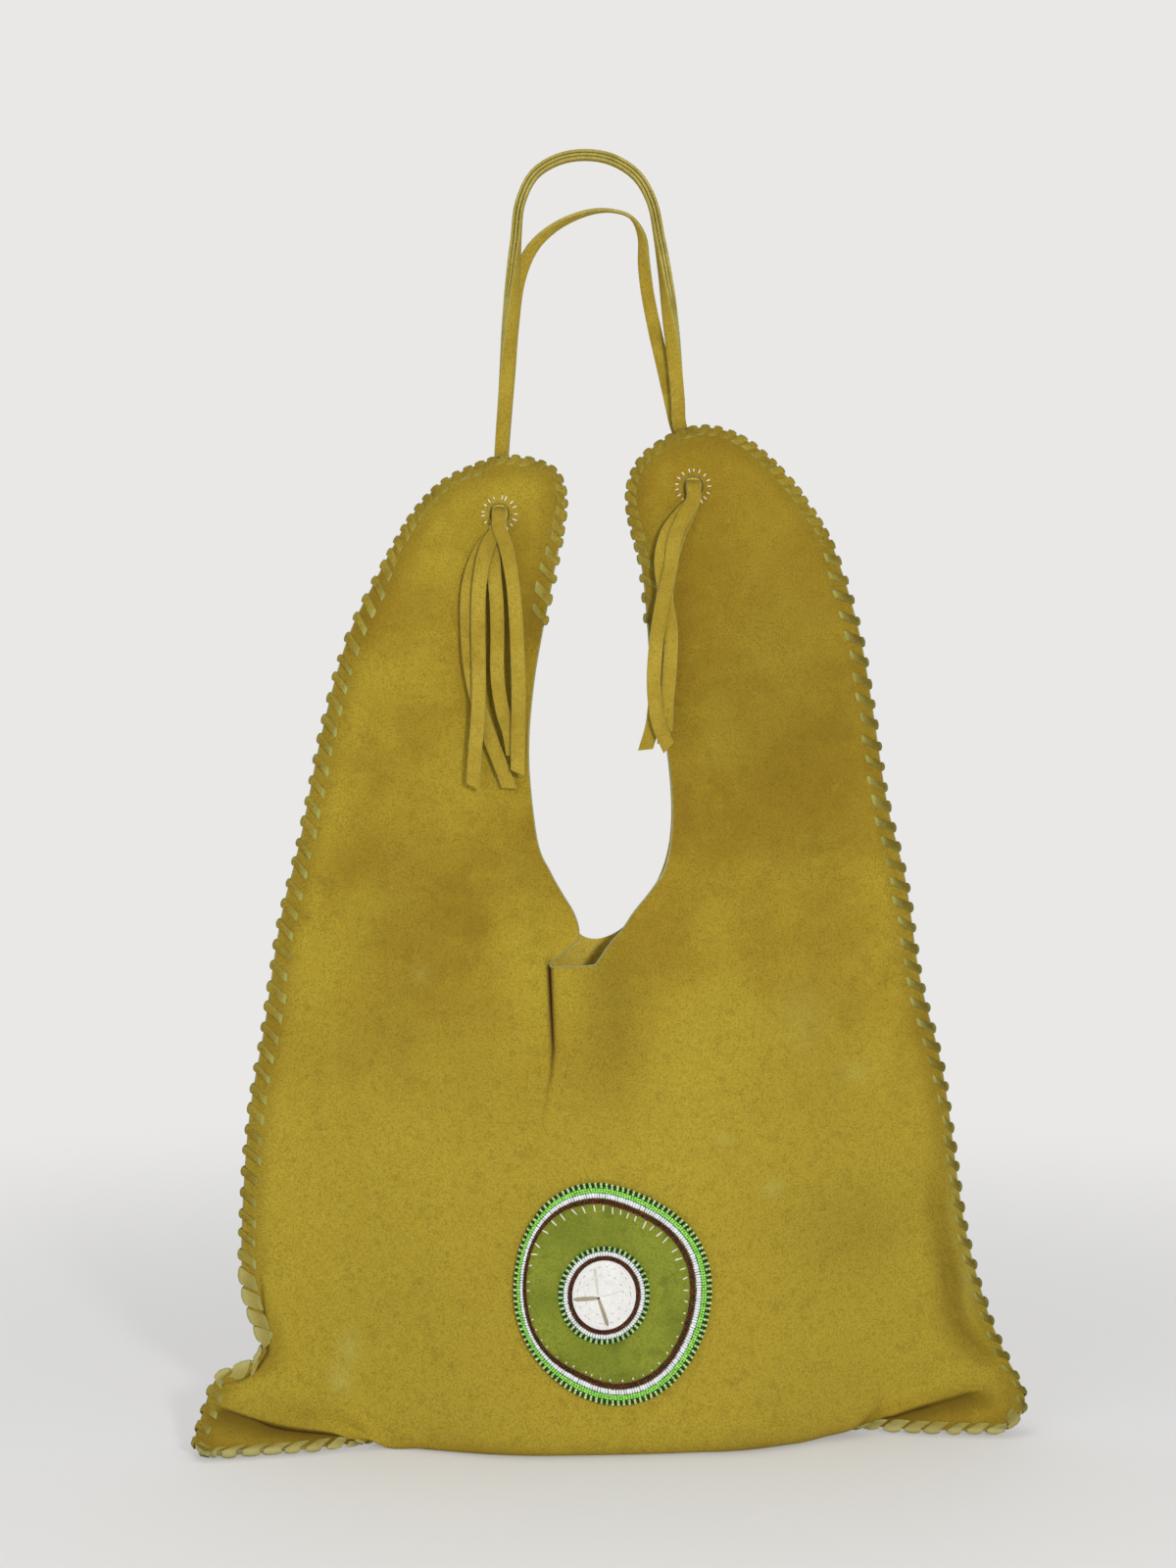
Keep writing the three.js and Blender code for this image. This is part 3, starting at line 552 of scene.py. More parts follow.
# wide darker places, given in the same way: clouds in the nap, and the largest, at the upper right,
# painted shade where less light falls
duskies = [
    (112, 405, 60, 90, 0.42), (-20, 322, 24, 22, 0.3), (150, 118, 40, 26, 0.22),
    (-98, 300, 36, 44, 0.15),
]
markPlan = {
    # painted shade along the lacing, and on a crease's slopes and beside it
    "seamShade": 0.4,
    "seamReach": 5,
    "seamFade": 12,
    "slopeReach": 3,  # times the crease's softness
    "besideReach": 34,
    "besideGain": 1.6,
    # painted light: the suede is painted lighter and greener below its top, fading out at its foot
    "bloom": 0.85,
    "paintedLightTop": 310,
    "paintedLightFade": 170,
    "paintedLightLow": -40,
    "paintedLightRise": 60,
}
waveCount = 7
waveRandom = np.random.default_rng(7)
waves = {
    "lengths": waveRandom.uniform(70, 170, waveCount),  # mm
    "turns": waveRandom.uniform(0, math.pi, waveCount),
    "phases": waveRandom.uniform(0, 2 * math.pi, waveCount),
    "height": 0.9,
    "sideRoom": 14,
    "sideFade": 40,
    "low": -5,
    "lowFade": 40,
    "high": 280,
    "highFade": 70,
}
creaseRoom = {"side": 1, "fade": 9}  # creases fade out this far from the lacing


# signed distance to a line (positive to its left when going down) and the share run along it
def alongLine(x, z, line):
    knots = np.asarray(line, float)
    starts, steps = knots[:-1], np.diff(knots, axis=0)
    lengths = np.hypot(steps[:, 0], steps[:, 1])
    dx = np.asarray(x)[..., None] - starts[:, 0]
    dz = np.asarray(z)[..., None] - starts[:, 1]
    share = np.clip((dx * steps[:, 0] + dz * steps[:, 1]) / lengths ** 2, 0, 1)
    offX, offZ = dx - share * steps[:, 0], dz - share * steps[:, 1]
    gap = np.hypot(offX, offZ)
    nearest = gap.argmin(axis=-1)[..., None]
    side = np.sign(steps[:, 1] * dx - steps[:, 0] * dz)
    run = (np.cumsum(lengths) - lengths + share * lengths) / lengths.sum()
    pick = [np.take_along_axis(values, nearest, -1)[..., 0] for values in (gap, side, run)]
    return pick[0] * pick[1], pick[2]


# groove = exp(-(distance / softness)^2), step = tanh(distance / softness) that fades with distance,
# both times the strength at that share of the crease's run
def creaseAt(crease, x, z):
    offset, run = alongLine(x, z, crease["line"])
    runs, strengths = np.array(crease["strength"]).T
    strength = np.interp(run, runs, strengths)
    groove = np.exp(-(offset / crease["softness"]) ** 2) * strength
    fade = np.exp(-np.abs(offset) / crease["liftReach"])
    step = np.tanh(offset / crease["softness"]) * fade * strength
    return groove, step, offset, strength


# relief = slow waves away from the seams and tassels, less the creases
def relief(side, x, z):
    x, z = np.broadcast_arrays(np.asarray(x, float), np.asarray(z, float))
    total = np.zeros(x.shape)
    for length, turn, phase in zip(waves["lengths"], waves["turns"], waves["phases"]):
        total += np.sin((x * math.cos(turn) + z * math.sin(turn)) * 2 * math.pi / length + phase)
    sides = distanceToSides(x, np.maximum(z, panelPlan["foldHeight"]))
    room = smooth((sides - waves["sideRoom"]) / waves["sideFade"])
    room = room * smooth((z - waves["low"]) / waves["lowFade"])
    room = room * (1 - smooth((z - waves["high"]) / waves["highFade"]))
    total = total * waves["height"] / math.sqrt(waveCount) * room
    room = smooth((sides - creaseRoom["side"]) / creaseRoom["fade"])
    for crease in creases.values():
        if side == "front" or crease["both"]:
            groove, step, _, _ = creaseAt(crease, x, z)
            pressed = groove * (side == "front" or crease["softness"] > sheetPlan["finestCrease"])
            total = total + room * (step * crease["lift"] / 2 - pressed * crease["depth"])
    return total


# strongest of many soft round places = strength x exp(-(distance / half size)^2)
def spotsAt(spots, x, z):
    amount = np.zeros(len(x))
    for placeX, placeZ, wide, tall, strength in spots:
        away = ((x - placeX) / wide) ** 2 + ((z - placeZ) / tall) ** 2
        amount = np.maximum(amount, strength * np.exp(-away))
    return amount


# painted marks on the suede, from 0 to 1: painted shadow in a crease's bottom; painted shade near the
# lacing, on a crease's slopes, beside it and in wide places; pale spots that are rubs and painted
# highlight; and painted light, lighter and greener low down, = share x smooth(below its top) x
# smooth(above its foot); the rest are the strongest of their causes
def marksAt(side, x, z):
    plan = markPlan
    nearSeam = distanceToSpans(x, z, lacedLine[:-1], lacedLine[1:])
    shade = plan["seamShade"] * (1 - smooth((nearSeam - plan["seamReach"]) / plan["seamFade"]))
    stain, scuff = np.zeros(len(x)), np.zeros(len(x))
    if side == "front":
        for crease in creases.values():
            groove, _, offset, strength = creaseAt(crease, x, z)
            stain = np.maximum(stain, groove * crease["stain"])
            slope = np.exp(-(offset / (crease["softness"] * plan["slopeReach"])) ** 2)
            wide = slope * strength * crease["shade"]
            fade = (offset > 0) * (1 - smooth(offset / plan["besideReach"]))
            beside = fade * np.minimum(1, strength * plan["besideGain"]) * crease["sideShade"]
            shade = np.maximum(shade, np.maximum(wide, beside))
        scuff = spotsAt(rubbedAndLitSpots, x, z)
        shade = np.maximum(shade, spotsAt(duskies, x, z))
    bloom = plan["bloom"] * smooth((plan["paintedLightTop"] - z) / plan["paintedLightFade"])
    bloom = bloom * smooth((z - plan["paintedLightLow"]) / plan["paintedLightRise"])
    return {"stain": stain, "scuff": scuff, "shade": shade, "bloom": bloom}


# unit direction in which the panel's front faces = across x up; it has no value more than the
# reach below the seam line, where both ends of the step upwards lie at the seam
def panelFacing(side, x, z):
    reach = 0.5
    across = panelMiddle(side, x + reach, z) - panelMiddle(side, x - reach, z)
    up = panelMiddle(side, x, z + reach) - panelMiddle(side, x, z - reach)
    return unit(np.cross(across, up))


# place at a height in front of the panel's middle, on its relief
def panelPoint(side, x, z, height):
    x, z, height = np.broadcast_arrays(*(np.asarray(value, float) for value in (x, z, height)))
    out = (height + relief(side, x, z))[..., None]
    return panelMiddle(side, x, z) + panelFacing(side, x, z) * out


# place at a height above the front panel's outer face
def onFront(x, z, height):
    return panelPoint("front", x, z, panelPlan["suedeThickness"] / 2 + height)


# materials

# suede with a raised nap: dyed in clouds, speckled with open pores, with a soft bloom at grazing
# light; tones are its light, mid, dark, pore and fleck colours; sizes are those of the real clouds,
# mottles and pores in mm; shares are how much the dark clouds, pores and flecks show
def suedeMaterial(name, tones, sizes, shares, bump=0.6, sheen=0.1, underMarks=(), marks=()):
    material, tree = emptyMaterial(name)
    light, mid, dark, pore, fleck = (colour(code) for code in tones.split())
    cloud, mottle, nap = sizes
    darkShare, poreShare, fleckShare = shares
    place = addNode(tree, "ShaderNodeTexCoord").outputs["Object"]
    # from the deepest up: tone, its share, and a mark's name or a noise's size, detail, roughness
    # and range
    layers = [
        (light, 1.0, (cloud, 3, 0.55, 0.36, 0.66)),
        (dark, darkShare, (cloud * 0.37, 4, 0.55, 0.52, 0.72)),
        *((colour(code), 1.0, mark) for mark, code in underMarks),
        (light, 0.4, (mottle, 4, 0.7, 0.52, 0.7)),
        (dark, 0.27, (mottle * 0.8, 4, 0.7, 0.5, 0.7)),
        (dark, 0.5, (nap, 3, 0.75, 0.53, 0.4)),
        (pore, poreShare, (nap * 0.9, 2, 0.6, 0.6, 0.7)),
        (fleck, fleckShare, (nap * 0.9, 2, 0.6, 0.66, 0.74)),
        *((colour(code), 1.0, mark) for mark, code in marks),
    ]
    tint, grains = mid, {}
    for tone, share, source in layers:
        if isinstance(source, str):
            amount = addNode(tree, "ShaderNodeAttribute", attribute_name=source).outputs["Fac"]
        else:
            size, detail, rough, low, high = source
            grains[size] = addNode(tree, "ShaderNodeTexNoise", {
                "Vector": place, "Scale": 1000 / size, "Detail": detail, "Roughness": rough,
            }).outputs["Fac"]
            amount = addNode(tree, "ShaderNodeMapRange", {
                "Value": grains[size], "From Min": low, "From Max": high, "To Max": share,
            }, interpolation_type="SMOOTHSTEP").outputs[0]
        mix = addNode(tree, "ShaderNodeMix", {0: amount, 6: tint, 7: tone}, data_type="RGBA")
        tint = mix.outputs[2]
    rise = addNode(tree, "ShaderNodeMath", {0: grains[nap], 1: grains[mottle]}, operation="ADD")
    raised = addNode(tree, "ShaderNodeBump", {
        "Height": rise.outputs[0], "Strength": bump, "Distance": nap / 1000,
    })
    surface = addNode(tree, "ShaderNodeBsdfPrincipled", {
        "Base Color": tint,
        "Roughness": 0.94,
        "Specular IOR Level": 0.15,
        "Sheen Weight": sheen,
        "Sheen Roughness": 0.6,
        "Sheen Tint": fleck,
        "Normal": raised.outputs[0],
    })
    addNode(tree, "ShaderNodeOutputMaterial", {"Surface": surface.outputs[0]})
    return material


# opaque glass seed beads, tumbled smooth: one even colour with a wet highlight, and a slow drift
# of tone from bead to bead
def beadMaterial(name, light, dark):
    material, tree = emptyMaterial(name)
    drift = addNode(tree, "ShaderNodeAttribute", attribute_name="tone").outputs["Fac"]
    tint = addNode(tree, "ShaderNodeMix", {0: drift, 6: colour(light), 7: colour(dark)},
                   data_type="RGBA")
    surface = addNode(tree, "ShaderNodeBsdfPrincipled", {
        "Base Color": tint.outputs[2],
        "Roughness": 0.25,
        "IOR": 1.5,
        "Specular IOR Level": 0.35,
    })
    addNode(tree, "ShaderNodeOutputMaterial", {"Surface": surface.outputs[0]})
    return material


# the panels' outer face, dyed and brushed: clouded, with pale rubs and with painted light and shade
panelSuede = suedeMaterial(
    "napSuedeDyedPaintedLight", "#b0992f #9a7e21 #785e15 #58420e #cfc06c", (105, 9, 1.0), (0.36, 0.62, 0.4),
    sheen=0.05, underMarks=[("bloom", "#b29d34")],
    marks=[("scuff", "#b9b45e"), ("shade", "#695211"), ("stain", "#331304")])
# their inner face: woollier and a little lighter, its tones raised further as painted light for the
# light that falls into the bag
backSuede = suedeMaterial(
    "napSuedeInside", "#e8cf58 #dabb44 #b4952f #7d661c #e6db94", (70, 6, 1.2), (0.4, 0.4, 0.4),
    bump=0.7)
# knife-cut edge, where the paler middle of the hide shows
cutSuede = suedeMaterial(
    "cutSuedeEdge", "#b9b788 #a2a472 #80804a #6b6a3c #dcdcbc", (40, 4, 0.9), (0.5, 0.5, 0.5))
# narrow cut lacing: pale at its cut sides and where it is rubbed, with painted shade at its sides,
# towards the edge and on the right
laceSuede = suedeMaterial(
    "lacingSuede", "#a58f30 #907822 #6f5915 #56430f #c9bf78", (24, 4, 1.1), (0.5, 0.5, 0.4),
    sheen=0.05, marks=[("gloom", "#4c4216"), ("pale", "#a7ab62"), ("rub", "#b7af70")])
# strap thongs, smoothed by the hand, and their knife-cut sides
thongSuede = suedeMaterial(
    "thongSuede", "#b39b38 #a1882a #836b1b #665113 #d8cb82", (45, 5, 1.0), (0.35, 0.45, 0.4),
    bump=0.4, sheen=0.06)
thongCut = suedeMaterial(
    "thongCutEdge", "#bcae60 #a89a4a #857830 #6c6126 #d2ca90", (30, 3, 0.9), (0.5, 0.4, 0.4),
    bump=0.5)
# the rosette's field, dyed green and blotched
fieldSuede = suedeMaterial(
    "greenFieldSuede", "#8c9333 #7b842a #616b20 #434c14 #a6aa58", (26, 4, 1.2), (0.6, 0.6, 0.5))
# hide tawed with alum: white, close and almost even
whiteHide = suedeMaterial(
    "whiteTawedHide", "#eeede9 #e4e3df #cfcdc6 #b9b6ac #ffffff", (18, 2.5, 0.9), (0.35, 0.2, 0.3),
    bump=0.35, sheen=0.05)
# spun cotton and split sinew threads: matt, with a fine uneven twist
creamThread, sinewThread, paleSinew = (
    suedeMaterial(name, tones, (12, 1.2, 0.5), (0.3, 0.2, 0.3), bump=0.3) for name, tones in (
        ("creamCottonThread", "#f6f2e0 #eae4ca #b9ae86 #a09468 #f7f3e2"),
        ("greySinewThread", "#b1a88e #a1977c #867c62 #6f664f #cfc8b2"),
        ("paleSinewThread", "#dcd8ca #d2cdbd #bdb7a4 #a9a28c #efece2")))
blackGlass = beadMaterial("blackGlassBead", "#20261a", "#10140c")
paleGreenGlass = beadMaterial("paleGreenGlassBead", "#c0e896", "#9ad272")
brightGreenGlass = beadMaterial("brightGreenGlassBead", "#a8ea6c", "#80d84a")
mintGlass = beadMaterial("mintGlassBead", "#bce89a", "#90cf70")
whiteGlass = beadMaterial("whiteGlassBead", "#eef0f2", "#d8dcde")
redGlass = beadMaterial("darkRedGlassBead", "#66190c", "#2a0805")
# waxed thread has the same small highlight as the beads
brownKnot = beadMaterial("waxedBrownKnot", "#5a4630", "#46341f")
print("materials made")

# the four strap thongs, one free cord each

thongPlan = {
    "width": 7.5,
    "thickness": 1.5,
    "gap": 0.4,
    "standOff": 6.2,
    "lean": 0.024,
    "rise": 2.6,
    "riseRun": 40,
    "holeBend": 5.7,
    "holeStraight": 0.5,
    "belowHole": 2,
    "aboveHole": 1,
    "strapStandOff": 2.6,
    "strapStandOffRun": 6,
    "ringsPerSpan": 4,
    "guideRings": 8,  # on each span of the line that the four thongs are set off from
    "endSlant": 1.6,
    "widthStep": 3,  # spans between the places where the cut wanders
    "widthSpread": 0.03,
    "narrowest": -0.05,
    "widest": 0.03,
}
# x, y, z and the turn of the thong's width from +X, over the arch from the left hole to the right
strapRoute = [
    (-45.7, 9, 552, 0), (-44.6, 9, 568, 0), (-43.2, 8.4, 590, 8), (-41.8, 7, 616, 30),
    (-40.3, 5, 642, 62), (-38.6, 3.6, 664, 85), (-36.4, 3, 683, 90), (-28.5, 3, 699, 90),
    (-15, 3, 707.5, 90), (0, 3, 710, 90), (15, 3, 707.5, 90), (29, 3, 698.5, 90), (37.4, 3, 684, 90),
    (41.4, 3.6, 665, 95), (45, 5, 642, 112), (47.6, 7, 618, 145), (49.6, 8.6, 596, 172),
    (51, 9, 576, 180), (51.8, 9, 563, 180),
]
innerRoute = [
    (-45.2, 9.6, 552, 0), (-44, 9.8, 568, 0), (-42, 10, 592, 0), (-39.5, 10.6, 620, 6),
    (-35.5, 11.4, 643, 18), (-27.5, 11.6, 659, 34), (-15, 11.6, 669.5, 48), (1.6, 11.6, 676.5, 56),
    (14, 11.6, 677.5, 66), (23.6, 11.6, 674.5, 86), (28.8, 11.6, 666, 118), (31, 11.6, 652, 150),
    (33.8, 11.4, 636, 168), (38.2, 10.8, 616, 178), (43, 10.4, 596, 180), (47.6, 10, 576, 180),
    (50.6, 9.6, 563, 180),
]
# each strip's x and z, from its free end up to its hole
leftTassels = [
    [(-41.3, 364), (-46.6, 378), (-52.5, 393), (-58.5, 411),
     (-62.6, 431), (-64.1, 452), (-63.4, 474), (-57, 494)],
    [(-39.2, 381), (-41, 393), (-45.2, 407), (-47.8, 425),
     (-47.8, 447), (-48.2, 466), (-49.5, 481), (-49.8, 495)],
    [(-60.9, 365), (-60.2, 381), (-58.6, 399), (-57.8, 418),
     (-57.9, 436), (-58.2, 454), (-57.4, 475), (-53.5, 495)],
    [(-36.7, 372.5), (-36.5, 386), (-36.3, 402), (-36.2, 420),
     (-36.8, 438), (-37.6, 456), (-39.4, 476), (-43, 495)],
]
rightTassels = [
    [(32.9, 385), (36.6, 398), (38.6, 416), (40.6, 434), (41.6, 455), (43, 476), (47, 494), (53, 508)],
    [(43, 390), (41.6, 405), (41.4, 422), (42.5, 440), (43.6, 460), (45.6, 480), (49.4, 497),
     (54.5, 510)],
    [(43.7, 394), (44.3, 410), (46, 430), (46.6, 449), (43.6, 469), (41.2, 487), (44.6, 503),
     (52, 513)],
    [(45.3, 386), (39.8, 399), (37.3, 417), (38, 438), (41.6, 464), (46.4, 484), (48.6, 500),
     (54, 512)],
]


# tassel strip: out from the seam's plane by stand-off + lean x below + rise x smooth(below / run)
def tasselRoute(points, hole, turn):
    x, z = np.asarray(points, float).T
    below = hole[1] - z
    out = thongPlan["standOff"] + thongPlan["lean"] * below
    out = out + thongPlan["rise"] * smooth(below / thongPlan["riseRun"])
    return np.stack([x, -out, z, np.full_like(x, turn)], axis=1)


# an eighth-circle bend on each side of the hole
def holeRoute(hole, turn):
    bend = thongPlan["holeBend"]
    diagonal = bend * (1 - math.sqrt(0.5))
    side = bend + thongPlan["holeStraight"]
    above = hole[1] + bend + thongPlan["aboveHole"]
    return np.array([
        (hole[0], -side, hole[1] - bend - thongPlan["belowHole"], turn),
        (hole[0], -side + diagonal, hole[1] - diagonal, turn),
        (hole[0], -thongPlan["holeStraight"], hole[1], turn),
        (hole[0], thongPlan["holeStraight"], hole[1], turn),
        (hole[0], side - diagonal, hole[1] + diagonal, turn),
        (hole[0], side, above, turn),
        (hole[0], side + thongPlan["strapStandOff"], above + thongPlan["strapStandOffRun"], turn),
    ])


# centripetal Catmull-Rom: knots spaced by the square root of the distance between points
def threadSpline(points, perSpan):
    padded = np.vstack([2 * points[0] - points[1], points, 2 * points[-1] - points[-2]])
    spans = len(points) - 1
    span = np.append(np.repeat(np.arange(spans), perSpan), spans - 1)
    t = np.append(np.tile(np.arange(perSpan) / perSpan, spans), 1.0)[:, None]
    a, b, c, d = (padded[span + step] for step in range(4))
    ab, bc, cd = (np.sqrt(np.linalg.norm(step, axis=1))[:, None] for step in (b - a, c - b, d - c))
    slopeIn = ((b - a) / ab - (c - a) / (ab + bc) + (c - b) / bc) * bc
    slopeOut = ((c - b) / bc - (d - b) / (bc + cd) + (d - c) / cd) * bc
    cubic = (2 * b - 2 * c + slopeIn + slopeOut) * t ** 3
    return cubic + (3 * c - 3 * b - 2 * slopeIn - slopeOut) * t ** 2 + slopeIn * t + b


# width direction in the level plane at the given turn, squared up to the thong's direction
def thongFrame(along, turns):
    along = unit(along)
    angle = np.radians(turns)
    width = np.stack([np.cos(angle), np.sin(angle), np.zeros_like(angle)], axis=1)
    width = width - along * (width * along).sum(axis=1, keepdims=True)
    width = unit(width)
    return along, width, np.cross(along, width)


# flat strip with rounded corners: (share of half width, share of half thickness)
thongSection = np.array([
    (-1, -0.6), (-1, 0.6), (-0.93, 1), (-0.35, 1.05), (0.35, 1.05), (0.93, 1),
    (1, 0.6), (1, -0.6), (0.93, -1), (0.35, -1), (-0.35, -1), (-0.93, -1),
])


cutCorners = (11, 0, 1, 5, 6, 7)  # of the section, on its two cut sides


# thong = its section swept along its own line, which lies beside the shared one by (1.5 - index)
# x (thickness + gap); it is cut a little unevenly, and at a slant at both ends
def makeThong(index, random):
    middle = innerRoute if index == 0 else strapRoute
    route = np.vstack([
        tasselRoute(leftTassels[index], leftHole, 0),
        holeRoute(leftHole, 0),
        middle,
        holeRoute(rightHole, 180)[::-1],
        tasselRoute(rightTassels[index], rightHole, 180)[::-1],
    ])
    guide = threadSpline(route[:, :3], thongPlan["guideRings"])
    knots = np.arange(len(route)) * thongPlan["guideRings"]
    last = len(guide) - 1
    along = guide[np.minimum(knots + 1, last)] - guide[np.maximum(knots - 1, 0)]
    facing = thongFrame(along, route[:, 3])[2]
    offset = (1.5 - index) * (thongPlan["thickness"] + thongPlan["gap"])
    perSpan = thongPlan["ringsPerSpan"]
    centres = threadSpline(route[:, :3] + facing * offset, perSpan)
    rings = len(centres)
    place = np.arange(rings) / perSpan
    turns = np.interp(place, np.arange(len(route)), route[:, 3])
    along, width, facing = thongFrame(np.gradient(centres, axis=0), turns)
    drawn = random.normal(0, thongPlan["widthSpread"], len(route) // thongPlan["widthStep"] + 2)
    wander = np.interp(place, np.arange(len(drawn)) * thongPlan["widthStep"], drawn)
    wander = np.clip(wander, thongPlan["narrowest"], thongPlan["widest"])
    halfWidth = thongPlan["width"] / 2 * (1 + wander)
    across = halfWidth[:, None] * thongSection[:, 0]
    out = thongPlan["thickness"] / 2 * thongSection[:, 1] * np.ones((rings, 1))
    points = centres[:, None] + width[:, None] * across[..., None] + facing[:, None] * out[..., None]
    slant = np.zeros(rings)
    slant[0], slant[-1] = -thongPlan["endSlant"], thongPlan["endSlant"]
    points = points + along[:, None] * (slant[:, None] * thongSection[:, 0])[..., None]
    corners = len(thongSection)
    quads = sweepFaces(1, rings, corners)
    isCut = np.isin(np.tile(np.arange(corners), rings - 1), cutCorners)
    faceSets = [(quads[~isCut], 0), (quads[isCut], 1), (capFaces(1, rings, corners), 1)]
    name = f"strap_thong_{index + 1}"
    piece = makePiece(f"{name}_suede", points.reshape(-1, 3), faceSets, [thongSuede, thongCut])
    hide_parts(name)


thongRandom = np.random.default_rng(11)
for thongIndex in range(len(leftTassels)):
    makeThong(thongIndex, thongRandom)
print("strap thongs made")

# the two suede panels


# the same line with its points a given step apart
def evenly(line, step):
    lengths = np.append(0, np.cumsum(np.hypot(*np.diff(line, axis=0).T)))
    count = max(1, round(lengths[-1] / step))
    places = np.linspace(0, lengths[-1], count + 1)
    return np.stack([np.interp(places, lengths, line[:, axis]) for axis in (0, 1)], axis=1)


# inside where a ray to the right crosses the closed outline an odd number of times
def insideOutline(x, z, outline):
    starts, ends = outline, np.roll(outline, -1, axis=0)
    inside = np.empty(len(x), bool)
    for first in range(0, len(x), 4096):
        block = slice(first, first + 4096)
        px, pz = x[block, None], z[block, None]
        spans = (starts[:, 1] > pz) != (ends[:, 1] > pz)
        rise = np.where(ends[:, 1] == starts[:, 1], 1, ends[:, 1] - starts[:, 1])
        cross = starts[:, 0] + (pz - starts[:, 1]) / rise * (ends[:, 0] - starts[:, 0])
        inside[block] = (spans & (px < cross)).sum(axis=1) % 2 == 1
    return inside


# |x / a|^n + |z / b|^n = 1
def holeLoop(side, hole):
    wide, tall, square = sheetPlan["frontHole" if side == "front" else "backHole"]
    angles = np.arange(sheetPlan["holeSides"]) / sheetPlan["holeSides"] * 2 * math.pi
    powers = np.abs(np.cos(angles) / wide) ** square + np.abs(np.sin(angles) / tall) ** square
    radius = powers ** (-1 / square)
    return np.stack([np.cos(angles) * radius, np.sin(angles) * radius], axis=1) + hole


# twice the area inside a closed loop = sum of x z' - z x'
def twiceArea(loop):
    return (loop[:, 0] * np.roll(loop[:, 1], -1) - loop[:, 1] * np.roll(loop[:, 0], -1)).sum()


# unit directions square to a closed loop, towards its inside
def inwards(loop):
    along = np.roll(loop, -1, axis=0) - np.roll(loop, 1, axis=0)
    along = unit(along)
    return np.stack([-along[:, 1], along[:, 0]], axis=1) * np.sign(twiceArea(loop))


# in the sheet = inside its outline and outside its holes
def inSheet(x, z, outline, holes):
    inside = insideOutline(x, z, outline)
    for hole in holes:
        inside &= ~insideOutline(x, z, hole)
    return inside


# rows of places beside a crease = line + square direction x offset
def creaseRows(line):
    direction = np.gradient(line, axis=0)
    direction = unit(direction)
    normal = direction[:, ::-1] * (1, -1)
    return np.vstack([line + normal * offset for offset in sheetPlan["creaseOffsets"]])


# the directed edges that only one triangle has
def openEdges(triangles):
    directed = np.vstack([triangles[:, pair] for pair in ([0, 1], [1, 2], [2, 0])])
    sides = np.sort(directed, axis=1)
    order = np.lexsort((sides[:, 1], sides[:, 0]))
    ordered = sides[order]
    same = np.all(ordered[1:] == ordered[:-1], axis=1)
    alone = ~(np.append(same, False) | np.insert(same, 0, False))
    return directed[order[alone]]


# a panel's flat places and triangles: Delaunay triangles between its loops, an even grid with
# every second row half a cell along, and the rows beside the front's fine creases
def flatMesh(side, outline, holes):
    loops = [outline, *holes]
    cell = sheetPlan["cell"]
    rows = np.arange(seamLine, sheetPlan["top"], cell * math.sqrt(0.75))
    x, z = np.meshgrid(np.arange(sheetPlan["left"], sheetPlan["right"], cell), rows)
    x = x + (np.arange(len(rows)) % 2)[:, None] * cell / 2
    x, z = x.ravel(), z.ravel()
    starts, ends = np.vstack(loops), np.vstack([np.roll(loop, -1, axis=0) for loop in loops])
    kept = inSheet(x, z, outline, holes) & (distanceToSpans(x, z, starts, ends) > sheetPlan["edgeRoom"])
    extras = np.empty((0, 2))
    if side == "front":
        room = max(sheetPlan["creaseOffsets"]) + sheetPlan["creaseRoom"]
        for crease in creases.values():
            if crease["softness"] < sheetPlan["finestCrease"]:
                curve = splineThrough(crease["line"], sheetPlan["fineness"])
                line = evenly(curve, sheetPlan["creaseStep"])
                kept &= distanceToSpans(x, z, line[:-1], line[1:]) > room
                extras = np.vstack([extras, creaseRows(line)])
        clear = insideOutline(extras[:, 0], extras[:, 1], outline)
        fromEdge = distanceToSpans(extras[:, 0], extras[:, 1], starts, ends)
        extras = extras[clear & (fromEdge > sheetPlan["creaseEdgeRoom"])]
    flat = np.vstack([*loops, np.stack([x, z], axis=1)[kept], extras])
    edges, first = [], 0
    for loop in loops:
        numbers = np.arange(len(loop)) + first
        edges += np.stack([numbers, np.roll(numbers, -1)], axis=1).tolist()
        first += len(loop)
    corners = [Vector(point) for point in flat.tolist()]
    flatPoints, _, triangles, _, _, _ = delaunay_2d_cdt(corners, edges, [], 0, 1e-5)
    flat, triangles = np.array([tuple(point) for point in flatPoints]), np.array(triangles)
    middles = flat[triangles].mean(axis=1)
    return flat, triangles[inSheet(middles[:, 0], middles[:, 1], outline, holes)]


